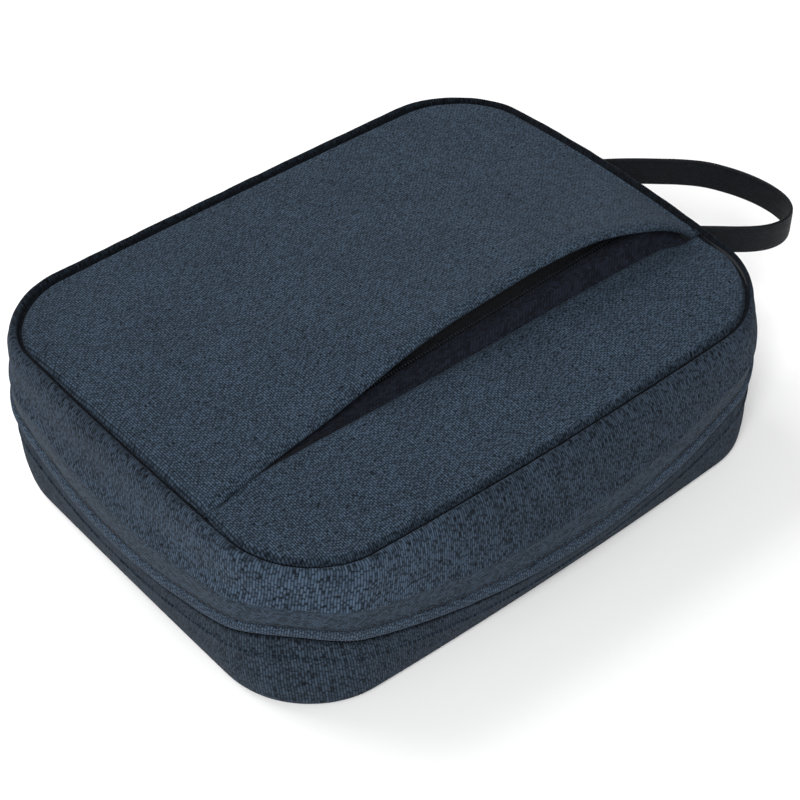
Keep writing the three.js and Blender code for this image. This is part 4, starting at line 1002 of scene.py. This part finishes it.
# ------------------------------------------------------------------ spine: one piece of fabric from the base to the cover
sp = SPINE
dn = 2.9 + (COVER_L[sp] * 0.955 - 2.9)[:, None] * np.linspace(0, 1, 20)[None]
c_rows, _, dd = cover_side(sp, dn)
b_t = np.array([0.03, .09, .16, .25, .35, .45, .55, .65, .75, .85, .93, .965])
b_rows = base_wall(sp, b_t[None] + 0 * sp[:, None])
mid = (c_rows[:, -1:] * .5 + b_rows[:, :1] * .5)
b_under = np.stack([F[sp] - OUT[sp] * a for a, _ in foot_profile], 1)
b_under[..., 2] = np.array([b for _, b in foot_profile])[None]
grid = np.concatenate([c_rows, mid, b_rows, b_under], 1)
uu = np.cumsum(np.concatenate([[0], np.linalg.norm(np.diff(S[sp], axis=0), axis=1)]))
vv = np.cumsum(np.concatenate([np.zeros((len(sp), 1)), np.linalg.norm(np.diff(grid, axis=1), axis=-1)], 1), 1)
wave = 0.35 * noise2(uu[:, None] / 38, vv / 22, 51) * smooth(vv, 4, 12) * (1 - smooth(vv, 56, 66)) * smooth(np.minimum(uu, uu[-1] - uu), 0, 15)[:, None]
grid[..., 1] += wave
sp_thick = np.concatenate([wall_thick(dd), np.full((len(sp), grid.shape[1] - dd.shape[1]), 1.3)], 1)
cl = np.stack([uu[:, None] + 0 * vv, vv, 0 * vv + 5], -1)
fr = np.concatenate([OUT[sp][:, None] + np.zeros((len(sp), grid.shape[1] - 6, 3)), OUT[sp][:, None] * .4 - up3 + np.zeros((len(sp), 6, 3))], 1)
# painted shade on the spine: rim and groove near the seam, side shade below
sp_painted_shade = np.concatenate([rim_painted_shade(sp, dd), SIDE_PAINTED_SHADE[sp][:, None] + np.zeros((len(sp), grid.shape[1] - dd.shape[1]))], 1)
spine = shell("spine_fabric", grid, sp_thick, fr, cl, [M_WALL_LIT, M_LINING], back_mat=1, shade=sp_painted_shade)
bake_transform(spine)
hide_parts("cover_spine_panel", "base_spine_panel")

# ------------------------------------------------------------------ panels of the cover
PE = S - OUT * 0.9  # the panels' edge at the seam


def cut_run(order, y_limit, back):
    pts = PE[order]
    kept = pts[:, 1] > y_limit if back else pts[:, 1] < y_limit
    ks = np.where(kept)[0]
    a, b = ks[0], ks[-1]
    run = list(pts[a:b + 1])
    cross = lambda p, q: p + (q - p) * (y_limit - p[1]) / (q[1] - p[1])
    run.insert(0, cross(pts[a - 1], pts[a]))
    run.append(cross(pts[b], pts[b + 1]))
    return np.array(run)


back_order = np.arange(START["corner_front_right"], N + START["corner_front_left"] + 34) % N
back_run = cut_run(back_order, -44.0, True)
front_order = np.arange(START["left"] + 40, START["right"] + 50)
front_run = cut_run(front_order, MOUTH_Y - 3.35, False)


def shares_of(run):
    s = np.concatenate([[0], np.cumsum(np.linalg.norm(np.diff(run, axis=0), axis=1))])
    s = s / s[-1]
    c = 0.5 - 0.5 * np.cos(np.pi * (0.12 + 0.76 * s))
    return (c - c[0]) / (c[-1] - c[0])


def resample(run, step):
    L = np.concatenate([[0], np.cumsum(np.linalg.norm(np.diff(run, axis=0), axis=1))])
    n = int(L[-1] / step)
    s = np.linspace(0, L[-1], n + 1)
    return np.stack([np.interp(s, L, run[:, k]) for k in range(3)], 1)


def row_shares(length, hem_d, edge_d, step):
    a = np.array(hem_d) / length
    b = 1 - np.array(edge_d)[::-1] / length
    n = int((b[0] - a[-1]) * length / step)
    return np.concatenate([a, np.linspace(a[-1], b[0], n + 1)[1:-1], b])


def flap_grid():
    run = resample(back_run, 1.7)
    s = shares_of(run)
    hx = 116.3 + (-115.9 - 116.3) * s
    hem = hem_at(hx)
    rows = row_shares(128, [0, .7, 1.5, 2.6, 4, 6, 8.5], [0, .35, .75, 1.2, 1.8, 2.6, 3.8, 5.5, 8], 2.6)
    x = hem[:, None, 0] * (1 - rows) + run[:, None, 0] * rows
    y = hem[:, None, 1] * (1 - rows) + run[:, None, 1] * rows
    z = flap_skin(x, y)
    zb = run[:, 2]
    return run, hem, rows, x, y, z


run, hem, rows, x, y, z = flap_grid()
nK = len(run)
dist_edge = np.linalg.norm(np.stack([x - run[:, None, 0], y - run[:, None, 1]], -1), axis=-1)
# the distance to the seam is measured square to it
en = unit(np.stack([np.gradient(run[:, 1]), -np.gradient(run[:, 0])], 1))
square = np.abs((x - run[:, None, 0]) * en[:, None, 0] + (y - run[:, None, 1]) * en[:, None, 1])
dist_edge = np.minimum(dist_edge, np.maximum(square, 0.0))
dist_hem = np.linalg.norm(np.stack([x - hem[:, None, 0], y - hem[:, None, 1]], -1), axis=-1)
z = z + (run[:, 2:3] - cover_skin(run[:, 0], run[:, 1])[:, None]) * np.exp(-dist_edge / 12)
groove = 2.2 * np.exp(-(dist_edge / 0.85) ** 2)
z = z - groove
swell = 0.55 * noise2(x / 52, y / 44, 61) + 0.22 * noise2(x / 21, y / 26, 62)
swell *= smooth(dist_edge, 0, 14)
# puckers that follow the seam near the left end of the mouth, and small ones all round
left_zone = smooth(-x, 70, 100) * smooth(-y, -10, 25)
puck = (0.16 + 0.30 * left_zone) * np.cos(dist_edge * 2 * np.pi / 2.1) * np.exp(-dist_edge / 3.2) * smooth(dist_edge, 0.8, 1.6)
arc_edge = np.concatenate([[0], np.cumsum(np.linalg.norm(np.diff(run, axis=0), axis=1))])
puck += 0.20 * noise2(arc_edge[:, None] / 6.0 + 0 * x, dist_edge / 8, 63) * np.exp(-dist_edge / 5) * smooth(dist_edge, 0.7, 2)
# the hem is folded under: a soft roll
roll = -0.9 * np.exp(-(dist_hem / 1.3) ** 2) + 0.35 * np.exp(-((dist_hem - 4.0) / 3.0) ** 2)
z = z + swell + puck + roll * smooth(np.minimum(np.arange(nK), nK - 1 - np.arange(nK))[:, None], 0, 6)
first = np.minimum(np.arange(nK), nK - 1 - np.arange(nK))
flat_end = smooth(first, 0, 5)[:, None]
grid = np.stack([x, y, z], -1)
thick = 1.2 + 0.9 * np.exp(-(dist_hem / 4.0) ** 2) * flat_end
cl = np.stack([x, y * 1.02, 0 * x + 0], -1)
# painted shade darkens the flap along its seam groove
flap = shell("pocket_flap_fabric", grid, thick, up3 + 0 * grid, cl, [M_TOP, M_INNER_SHADED], back_mat=1, rim=6, shade=0.42 * np.exp(-(dist_edge / 0.9) ** 2))
done(flap, "cover", "outer_fabric", "pocket_flap_panel")
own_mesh(flap)

# lower front panel
run = resample(front_run, 1.7)
s = shares_of(run)
x0 = -115.9 + (116.2 + 115.9) * s
y0 = MOUTH_Y - 3.34 * smooth(np.abs(x0), 98, 111)
rows = row_shares(47, [0, .6, 1.3, 2.2, 3.4, 5], [0, .35, .75, 1.2, 1.8, 2.6, 3.8, 5.5], 1.9)
x = x0[:, None] * (1 - rows) + run[:, None, 0] * rows
y = y0[:, None] * (1 - rows) + run[:, None, 1] * rows
z = front_skin(x, y)
en = unit(np.stack([np.gradient(run[:, 1]), -np.gradient(run[:, 0])], 1))
square = np.abs((x - run[:, None, 0]) * en[:, None, 0] + (y - run[:, None, 1]) * en[:, None, 1])
dist_edge = np.minimum(np.linalg.norm(np.stack([x - run[:, None, 0], y - run[:, None, 1]], -1), axis=-1), square)
dist_hem = np.abs(y - y0[:, None])
z = z + (run[:, 2:3] - front_skin(run[:, 0], run[:, 1])[:, None]) * np.exp(-dist_edge / 10)
z = z - 2.2 * np.exp(-(dist_edge / 0.85) ** 2)
swell = (0.5 * noise2(x / 44, y / 30, 71) + 0.2 * noise2(x / 19, y / 17, 72)) * smooth(dist_edge, 0, 12) * smooth(dist_hem, 0, 8)
arc_edge = np.concatenate([[0], np.cumsum(np.linalg.norm(np.diff(run, axis=0), axis=1))])
puck = 0.18 * noise2(arc_edge[:, None] / 6.0 + 0 * x, dist_edge / 8, 73) * np.exp(-dist_edge / 5) * smooth(dist_edge, 0.7, 2)
dip = -1.6 * np.exp(-(dist_hem / 9) ** 2) * smooth(x, 40, 95)
z = z + swell + puck + 0.3 * np.exp(-((dist_hem - 2.2) / 1.6) ** 2) - 0.5 * np.exp(-(dist_hem / 0.8) ** 2) + dip
grid = np.stack([x, y, z], -1)
thick = 1.2 + 0.3 * np.exp(-(dist_hem / 3.0) ** 2)
cl = np.stack([x + 300, y * 1.02, 0 * x + 0], -1)
# painted shade darkens the panel along its seam groove
lower = shell("lower_front_fabric", grid, thick, up3 + 0 * grid, cl, [M_TOP, M_INNER_SHADED], back_mat=1, rim=5, shade=0.42 * np.exp(-(dist_edge / 0.9) ** 2))
done(lower, "cover", "outer_fabric", "lower_front_panel")

# ------------------------------------------------------------------ zip of the pocket mouth
coil_z = lambda x: 63.6 + (np.asarray(x, float) + 92) * (9.6 / 192)
xs = np.linspace(-110, 111.5, 180)
ctrl_y = np.array([-47.5, -40.6, -35.6, -31.7])
under_hem = np.minimum(coil_z(xs) + .3, hem_at(xs)[:, 2] - 2.5)
ctrl_z = np.stack([front_skin(xs, -47.5) - 1.9, front_skin(xs, MOUTH_Y) - 1.7 - 1.4 * smooth(xs, 40, 95), under_hem, under_hem], 1)
ys = np.linspace(-47.5, -31.7, 19)
zz = np.stack([pchip(-ctrl_y[::-1], r[::-1], -ys) for r in ctrl_z], 0)
zz = zz + 0.16 * noise2(xs[:, None] / 11, ys[None] / 7, 81) - 0.5 * np.exp(-((ys[None] + 36.6) / 0.5) ** 2)
grid = np.stack([xs[:, None] + 0 * zz, ys[None] + 0 * zz, zz], -1)
zz = np.minimum(zz, front_skin(xs, -41.0)[:, None] + (1 - smooth(np.abs(xs), 101, 109))[:, None] * 20 - 1.6)
cl = np.stack([xs[:, None] + 0 * zz, (ys[None] + 36.6) * 1.25 + 0 * zz, 0 * zz], -1)
ptape = shell("pocket_tape_lower", grid, 0.6, up3 + 0 * grid, cl, [M_POCKET_TAPE_SHADED], rim=3)
done(ptape, "cover", "zip_tape", "pocket_zip_panel_tape")
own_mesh(ptape)


def helix(name, path, upv, radius, wire, pitch, mats, per=9, sides=5, flat=1.0):
    """A zip coil: one wire wound round a line."""
    path = np.asarray(path, float)
    L = np.concatenate([[0], np.cumsum(np.linalg.norm(np.diff(path, axis=0), axis=1))])
    turns = int(L[-1] / pitch)
    n = turns * per + 1
    s = np.linspace(0, L[-1], n)
    c = np.stack([np.interp(s, L, path[:, k]) for k in range(3)], 1)
    uv = np.stack([np.interp(s, L, upv[:, k]) for k in range(3)], 1)
    t = unit(np.gradient(c, axis=0))
    sd = unit(np.cross(uv, t))
    uu = unit(np.cross(t, sd))
    a = 2 * np.pi * np.arange(n) / per
    p = c + (radius - wire) * (np.cos(a)[:, None] * sd + flat * np.sin(a)[:, None] * uu)
    return tube(name, p, wire, mats, sides=sides, up=t)


px = np.linspace(-101, 101, 60)
pc = np.stack([px, 0 * px - 30.2, coil_z(px)], 1)
ob = helix("pocket_coil_lower", pc, up3 + 0 * pc, 0.9, 0.26, 1.3, [M_COIL], per=8)
done(ob, "cover", "zip_coil", "pocket_zip_panel_coil")
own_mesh(ob)

fx = np.linspace(-72, 97, 120)


def under_flap(x, dy, drop):
    h = hem_at(x)
    y = h[:, 1] + dy
    return np.stack([x, y, flap_skin(x, y) - 1.2 - drop], 1)


grid = np.stack([under_flap(fx, dy, 0.75) for dy in np.linspace(3.6, 13, 6)], 1)
cl = np.stack([grid[..., 0], grid[..., 1], 0 * grid[..., 0]], -1)
ftape = shell("pocket_tape_upper", grid, 0.5, up3 + 0 * grid, cl, [M_POCKET_TAPE_SHADED], rim=3)
done(ftape, "cover", "zip_tape", "pocket_zip_flap_tape")
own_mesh(ftape)
fc = under_flap(fx, 2.6, 1.9)
ob = helix("pocket_coil_upper", fc, up3 + 0 * fc, 0.8, 0.24, 1.3, [M_COIL], per=8)
done(ob, "cover", "zip_coil", "pocket_zip_flap_coil")
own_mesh(ob)

# ------------------------------------------------------------------ main zip coils
sel_c = AROUND[1:-1]
cz = cover_up(sel_c, np.array([[1.6]]))[:, 0] - OUT[sel_c] * (0.95 - 0.55 * RUN[sel_c])[:, None]
ob = helix("cover_coil", cz, OUT[sel_c], 0.93, 0.27, 1.35, [M_COIL], per=7)
done(ob, "cover", "zip_coil", "cover_zip_coil")
bz = base_down(sel_c, np.array([[1.6]]))[:, 0] - OUT[sel_c] * (0.95 - 0.55 * RUN[sel_c])[:, None]
ob = helix("base_coil", bz, OUT[sel_c], 0.93, 0.27, 1.35, [M_COIL], per=7)
done(ob, "base", "zip_coil", "base_zip_coil")

# ------------------------------------------------------------------ linings and layers
def wall_lining(name, rows_fn, body, slot, node, seed):
    g = rows_fn
    nn = g.shape[1]
    uu = ARC[AROUND][1:-1][::2]
    dd = np.arange(nn)[None] * 2.0 + 0 * uu[:, None]
    g = g + OUT[AROUND][1:-1][::2][:, None] * (0.35 * noise2(uu[:, None] / 22, dd / 9, seed))[..., None]
    c = np.stack([uu[:, None] + 0 * dd, dd, 0 * dd], -1)
    ob = shell(name, g, 0.7, OUT[AROUND][1:-1][::2][:, None] + 0 * g, c, [M_LINING])
    return done(ob, body, slot, node)


sl = AROUND[1:-1][::2]
tt = np.linspace(0, 1, 9)
lin_t = 0.22 + (1 - 7.5 / COVER_L[sl][:, None] - 0.22) * tt[None]
wall_lining("cover_side_lining_cloth", cover_wall(sl, lin_t) - OUT[sl][:, None] * 2.15, "cover", "lining", "cover_side_lining", 91)
lin_b = (7.5 / BASE_L[sl][:, None]) + (0.75 - 7.5 / BASE_L[sl][:, None]) * tt[None]
wall_lining("base_side_lining_cloth", base_wall(sl, lin_b) - OUT[sl][:, None] * 2.75, "base", "lining", "base_side_lining", 92)

every2 = np.arange(0, N, 2)
cover_outline = inward(S, 2.6)[every2]
quilt = lambda s1: (lambda x, y: 0.10 * noise2(x / 30, y / 26, s1))
plate_z = lambda z0, s1, amp=0.12: (lambda x, y: z0 + amp * noise2(np.asarray(x) / 34, np.asarray(y) / 30, s1))
ob = plate("pocket_inner_cloth", cover_outline, plate_z(60.15, 101), plate_z(59.35, 101), [M_INNER_SHADED], edge=.4)
done(ob, "cover", "lining", "pocket_inner_sheet")
ob = plate("cover_foam_pad", inward(S, 3.0)[every2], plate_z(59.0, 102, .1), plate_z(56.05, 103, .1), [M_FOAM], edge=1.4)
done(ob, "cover", "foam", "cover_foam")
ob = plate("cover_lining_cloth", cover_outline, plate_z(55.65, 104, .08), plate_z(54.85, 104, .08), [M_LINING], edge=.4)
cover_lining = done(ob, "cover", "lining", "cover_lining")
base_outline = inward(F, 5.4)[every2]
ob = plate("base_lining_cloth", base_outline, plate_z(6.05, 105, .06), plate_z(5.35, 105, .06), [M_LINING], edge=.4)
base_lining = done(ob, "base", "lining", "base_lining")
ob = plate("base_foam_pad", inward(F, 9.6)[every2], plate_z(4.95, 106, .06), plate_z(1.85, 106, .0), [M_FOAM], edge=1.4)
done(ob, "base", "foam", "base_foam")
bo = inward(F, 8.1)[every2]
ob = plate("bottom_fabric", bo, lambda x, y: 1.35 + 0 * np.asarray(x), lambda x, y: 0.0 + 0 * np.asarray(x), [M_BASE_SHADED], edge=0.9)
bottom = done(ob, "base", "outer_fabric", "bottom_panel")


def binding(name, ring_pts, r_mid, z_mid, w, h, body, node):
    path = ring_pts + OUT * r_mid
    path[:, 2] = path[:, 2] + z_mid
    ang = np.linspace(0, 2 * np.pi, 12, endpoint=False)
    prof = np.stack([np.sign(np.cos(ang)) * np.abs(np.cos(ang)) ** .6 * w / 2, np.sign(np.sin(ang)) * np.abs(np.sin(ang)) ** .6 * h / 2], 1)
    st2 = every2
    V = path[st2][:, None] + OUT[st2][:, None] * prof[None, :, :1] + up3 * prof[None, :, 1:]
    V = V + OUT[st2][:, None] * (0.06 * noise2(ARC[st2] / 4, ARC[st2] * 0, 111))[:, None, None]
    n, m = V.shape[:2]
    ids = np.arange(n * m).reshape(n, m)
    i = np.arange(n)
    faces = np.concatenate([np.stack([ids[i, j], ids[(i + 1) % n, j], ids[(i + 1) % n, (j + 1) % m], ids[i, (j + 1) % m]], 1) for j in range(m)]).tolist()
    C = np.stack([ARC[st2][:, None] + 0 * V[..., 0], np.arange(m)[None] * .5 + 0 * V[..., 0], 0 * V[..., 0]], -1)
    ob = build(name, V.reshape(-1, 3), faces, C.reshape(-1, 3), [M_BIND])
    return done(ob, body, "binding", node)


binding("cover_seam_binding_tape", S.copy(), -2.6, -3.9, 1.6, .8, "cover", "cover_seam_binding")
foot0 = F.copy()
foot0[:, 2] = 0
binding("base_seam_binding_tape", foot0, -7.9, 2.38, 1.4, 1.0, "base", "base_seam_binding")


# ------------------------------------------------------------------ slip pockets, mesh pocket, pen loop
def slip(name, x0, x1, y0, y1, r, z0, z1, node, seed):
    o = rounded(x0, x1, y0, y1, r)
    top = lambda x, y: z1 - .04 + 0.05 * noise2(np.asarray(x) / 24, np.asarray(y) / 24, seed)
    ob = plate(name, o, top, lambda x, y: z0 + .03 + 0 * np.asarray(x), [M_LINING], edge=.35, rows=12)
    done(ob, "base", "lining", node)
    n = 60
    bx = np.linspace(x0 + r * 0.55, x1 - r * 0.55, n)
    path = np.stack([bx, np.full(n, y1 - 1.9), np.full(n, z1 + .02)], 1)
    w = np.linspace(-1.7, 1.7, 7)
    g = path[:, None] + np.stack([0 * w, w, 0.16 * (1 - (w / 1.7) ** 2)], 1)[None]
    c = np.stack([g[..., 0], g[..., 1], 0 * g[..., 0]], -1)
    b = shell(name + "_binding", g, 0.3, up3 + 0 * g, c, [M_BIND], rim=3)
    done(b, "base", "binding")
    side = rounded(x0 + 1.6, x1 - 1.6, y0 + 1.6, y1 - 1.2, max(r - 1.6, 2), step=2.5)
    keep = side[:, 1] < y1 - 4.5
    k0 = int(np.argmax(~keep))
    ordered = np.roll(side, -k0, 0)
    keep = ordered[:, 1] < y1 - 4.5
    line = ordered[keep]
    pth = np.column_stack([line, np.full(len(line), z1 + 0.02)])
    s = stitches(name + "_stitching", pth, up3 + 0 * pth, [M_THREAD_GREY], pitch=2.6, length=1.8, radius=0.16, sink=0.0)
    done(s, "base", "lining")
    return ob


sleeve = slip("document_sleeve_cloth", -104, 104, -74, 40, 14, 6.45, 7.15, "document_sleeve", 121)
slip("passport_pocket_cloth", -98, -6, -68, 12, 8, 7.5, 8.2, "passport_pocket", 122)
slip("card_slot_back_cloth", 4, 98, -68, 14, 8, 7.5, 8.2, "card_slot_back", 123)
slip("card_slot_middle_cloth", 4, 98, -68, -2, 8, 8.55, 9.25, "card_slot_middle", 124)
slip("card_slot_front_cloth", 4, 98, -68, -18, 8, 9.6, 10.3, "card_slot_front", 125)

# pen loop: elastic webbing, a ring open along X
nA, nX = 56, 15
ang = np.linspace(0, 2 * np.pi, nA, endpoint=False)
lx = np.linspace(-9.8, 9.8, nX)
g = np.zeros((nA, nX, 3))
g[..., 0] = lx[None]
g[..., 1] = 58 + (8.4 * np.cos(ang))[:, None]
g[..., 2] = 12.65 + (6.12 * np.sin(ang))[:, None] + 0.06 * np.sin(lx * 2.2)[None]
fr = np.stack([0 * g[..., 0], np.cos(ang)[:, None] + 0 * g[..., 0], np.sin(ang)[:, None] + 0 * g[..., 0]], -1)
c = np.stack([(ang * 7.3)[:, None] + 0 * g[..., 0], g[..., 0], 0 * g[..., 0]], -1)
ob = shell("pen_loop_elastic", g, 0.85, fr, c, [M_WEB], closed=True, rim=4)
done(ob, "base", "webbing", "pen_loop")

# mesh pocket: a net of real holes
def net(name, x0, x1, y0, y1, r, z, cell=3.4, wire=0.34):
    """Hexagon-like net: zigzag threads that meet, inside a rounded rectangle."""
    inside = lambda x, y: ((np.maximum(np.abs(x - (x0 + x1) / 2) - (x1 - x0) / 2 + r, 0) ** 2
                            + np.maximum(np.abs(y - (y0 + y1) / 2) - (y1 - y0) / 2 + r, 0) ** 2) <= r * r)
    cols = int((x1 - x0) / cell)
    rws = int((y1 - y0) / (cell / 2))
    verts, faces, cloth = [], [], []
    X = x0 + cell * (np.arange(cols + 1))
    lift = lambda x, y: z + 0.10 * noise2(np.asarray(x) / 30, np.asarray(y) / 26, 131)
    for k, cx in enumerate(X):
        ys = y0 + (cell / 2) * np.arange(rws + 1)
        xs = cx + np.where(np.arange(rws + 1) % 4 < 2, 0.0, cell / 2) + (0 if k % 2 == 0 else 0)
        keep = inside(xs, ys)
        idx = np.where(keep)[0]
        if len(idx) < 3:
            continue
        p = np.stack([xs[idx], ys[idx], lift(xs[idx], ys[idx])], 1)
        t = unit(np.gradient(p, axis=0))
        sd = unit(np.cross(up3, t))
        base = len(verts)
        for a in range(4):
            aa = math.pi / 4 + a * math.pi / 2
            verts_a = p + wire * (math.cos(aa) * sd * 1.2 + math.sin(aa) * 0.55 * up3)
            cloth_a = p.copy()
            verts.extend(verts_a.tolist())
            cloth.extend(cloth_a.tolist())
        m = len(p)
        for a in range(4):
            b = (a + 1) % 4
            for q in range(m - 1):
                faces.append([base + a * m + q, base + a * m + q + 1, base + b * m + q + 1, base + b * m + q])
        faces.append([base + a * m for a in range(4)][::-1])
        faces.append([base + a * m + m - 1 for a in range(4)])
        # bridges to the next column
        for q in range(1, len(idx) - 1):
            if idx[q] % 4 == 2:
                xa, ya = xs[idx[q]], (ys[idx[q]] + ys[min(idx[q] + 1, rws)]) / 2
                xb = xa + cell / 2
                if not inside(np.array([xb]), np.array([ya]))[0]:
                    continue
                b0 = len(verts)
                za, zb = float(lift(xa, ya)), float(lift(xb, ya))
                for (bx, bz) in ((xa, za), (xb, zb)):
                    for dy, dz in ((-wire, -.15), (wire, -.15), (wire, .15), (-wire, .15)):
                        verts.append([bx, ya + dy, bz + dz])
                        cloth.append([bx, ya + dy, 0])
                for a in range(4):
                    b = (a + 1) % 4
                    faces.append([b0 + a, b0 + 4 + a, b0 + 4 + b, b0 + b])
                faces.append([b0 + 3, b0 + 2, b0 + 1, b0])
                faces.append([b0 + 4, b0 + 5, b0 + 6, b0 + 7])
    return build(name, np.array(verts), faces, np.array(cloth), [M_NET], sharp=0)


ob = net("mesh_pocket_net", -96, 96, -20.6, 72, 16, 54.0)
done(ob, "cover", "mesh", "mesh_pocket")
o = rounded(-96, 96, -20.4, 72, 16, step=2.0)
keep = o[:, 1] > -19
k0 = int(np.argmax(~keep))
o2 = np.roll(o, -k0, 0)
o2 = o2[o2[:, 1] > -20.2]
path = np.column_stack([o2, np.full(len(o2), 54.0)])
tn = unit(np.gradient(path, axis=0))
sd = np.cross(up3, tn)
w = np.linspace(-1.4, 1.4, 6)
g = path[:, None] - sd[:, None] * (w[None, :, None] - 1.4 * 0) + up3 * (-.25 * (1 - (w / 1.4) ** 2))[None, :, None]
c = np.stack([np.cumsum(np.linalg.norm(np.gradient(path, axis=0), axis=1))[:, None] + 0 * g[..., 0], w[None] + 0 * g[..., 0], 0 * g[..., 0]], -1)
ob = shell("mesh_pocket_edge_tape", g, 0.45, -up3 + 0 * g, c, [M_BIND], rim=3)
done(ob, "cover", "binding")
bx = np.linspace(-95.4, 95.4, 110)
w = np.linspace(-28.8, -20.6, 9)
g = np.stack([bx[:, None] + 0 * w[None], w[None] + 0 * bx[:, None], 53.32 + 0.10 * np.sin(bx * 1.9)[:, None] * np.sin((w - w[0]) / 8.2 * np.pi)[None]], -1)
c = np.stack([bx[:, None] + 0 * w[None], w[None] + 0 * bx[:, None], 0 * g[..., 0]], -1)
ob = shell("mesh_pocket_elastic", g, 1.0, -up3 + 0 * g, c, [M_WEB], rim=4)
done(ob, "cover", "binding", "mesh_pocket_binding")

# ------------------------------------------------------------------ wrist strap
sp_line = catmull(STRAP_PATH, 16)
sp_line, s_len = along(sp_line, 1.1)
sp_line = np.vstack([sp_line, STRAP_PATH[-1]])
s_len = np.concatenate([[0], np.cumsum(np.linalg.norm(np.diff(sp_line, axis=0), axis=1))])
STRAP_LEN = float(s_len[-1])
w = np.concatenate([[-6, -5.7, -5.2, -4.5], np.linspace(-3.6, 3.6, 9), [4.5, 5.2, 5.7, 6]]) * 0.93
tn = unit(np.gradient(sp_line, axis=0))
side = np.stack([-tn[:, 1], tn[:, 0]], 1)
if side[10, 0] < 0:
    side = -side
belly = 0.0 + 0.10 * (1 - (w / 6) ** 2)
prof = np.where(np.abs(w) > 4.4, -0.12, 0.0)
g = np.zeros((len(sp_line), len(w), 3))
g[..., :2] = sp_line[:, None] + side[:, None] * (0.8 + prof)[None, :, None]
g[..., 2] = 51.6 + w[None]
fr = np.concatenate([side, np.zeros((len(side), 1))], 1)[:, None] + 0 * g
c = np.stack([s_len[:, None] + 0 * g[..., 0], w[None] + 0 * g[..., 0], 0 * g[..., 0]], -1)
th = np.broadcast_to((1.6 + 2 * prof)[None], g.shape[:2])
strap = shell("wrist_strap_webbing", g, th, fr, c, [M_WEB], rim=4)
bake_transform(strap)
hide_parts("wrist_strap", "strap_end_far", "strap_end_near")

# ------------------------------------------------------------------ sliders and pulls keep their CAD shape
for n in ("main_zip_slider", "main_zip_pull", "pocket_zip_slider", "pocket_zip_pull"):
    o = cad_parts[n]
    o.data.materials.clear()
    o.data.materials.append(M_METAL)
    b = o.modifiers.new("edges", "BEVEL")
    b.width = 0.00022
    b.segments = 3
    b.limit_method = "ANGLE"
    b.angle_limit = math.radians(32)


def half_area(ob):
    return sum(p.area for p in ob.data.polygons) / 2


# ------------------------------------------------------------------ camera, light and floor
yaw, pitch, roll = math.radians(41.391), math.radians(42.578), math.radians(1.1006)
fwd = Vector((math.cos(pitch) * math.sin(yaw), math.cos(pitch) * math.cos(yaw), -math.sin(pitch)))
rgt = Vector((math.cos(yaw), -math.sin(yaw), 0))
upc = rgt.cross(fwd)
r2 = rgt * math.cos(roll) + upc * math.sin(roll)
u2c = -rgt * math.sin(roll) + upc * math.cos(roll)
cam = bpy.data.objects.new("camera", bpy.data.cameras.new("camera"))
scene.collection.objects.link(cam)
cam.data.sensor_width = 36.0
cam.data.lens = 2088.94 / 800 * 36.0
m3 = Matrix((r2, u2c, -fwd)).transposed()
cam.matrix_world = Matrix.Translation(Vector((-401.737, -463.502, 583.151)) * 0.95 * MM) @ m3.to_4x4()
cam.data.clip_start, cam.data.clip_end = 0.02, 20
scene.camera = cam

fl = bpy.data.meshes.new("floor")
fl.from_pydata([(-4, -4, 0), (4, -4, 0), (4, 4, 0), (-4, 4, 0)], [], [(0, 1, 2, 3)])
floor = bpy.data.objects.new("floor", fl)
scene.collection.objects.link(floor)
floor.location.z = -0.0002
fm_ = Mat("floor_paper", roughness=0.9)
fm_.b.inputs["Base Color"].default_value = (0.9, 0.9, 0.9, 1)
fl.materials.append(fm_.m)

world = bpy.data.worlds.new("studio")
scene.world = world
world.use_nodes = True
world.node_tree.nodes["Background"].inputs[0].default_value = (1, 1, 1, 1)
world.node_tree.nodes["Background"].inputs[1].default_value = 0.34


def area_light(name, loc, target, size, power, color=(1, 1, 1)):
    li = bpy.data.lights.new(name, "AREA")
    li.size = size
    li.energy = power
    li.color = color
    ob = bpy.data.objects.new(name, li)
    scene.collection.objects.link(ob)
    ob.location = loc
    ob.rotation_mode = "QUATERNION"
    ob.rotation_quaternion = (Vector(target) - Vector(loc)).to_track_quat("-Z", "Y")
    return ob


area_light("key", (-1.6, -1.5, 2.2), (0, 0, 0.03), 1.4, 92.0)
area_light("top", (-0.5, 1.7, 1.9), (0, 0, 0.05), 1.6, 44.0)
scene.view_settings.view_transform = "Standard"
scene.view_settings.look = "None"
scene.view_settings.exposure = 0.0
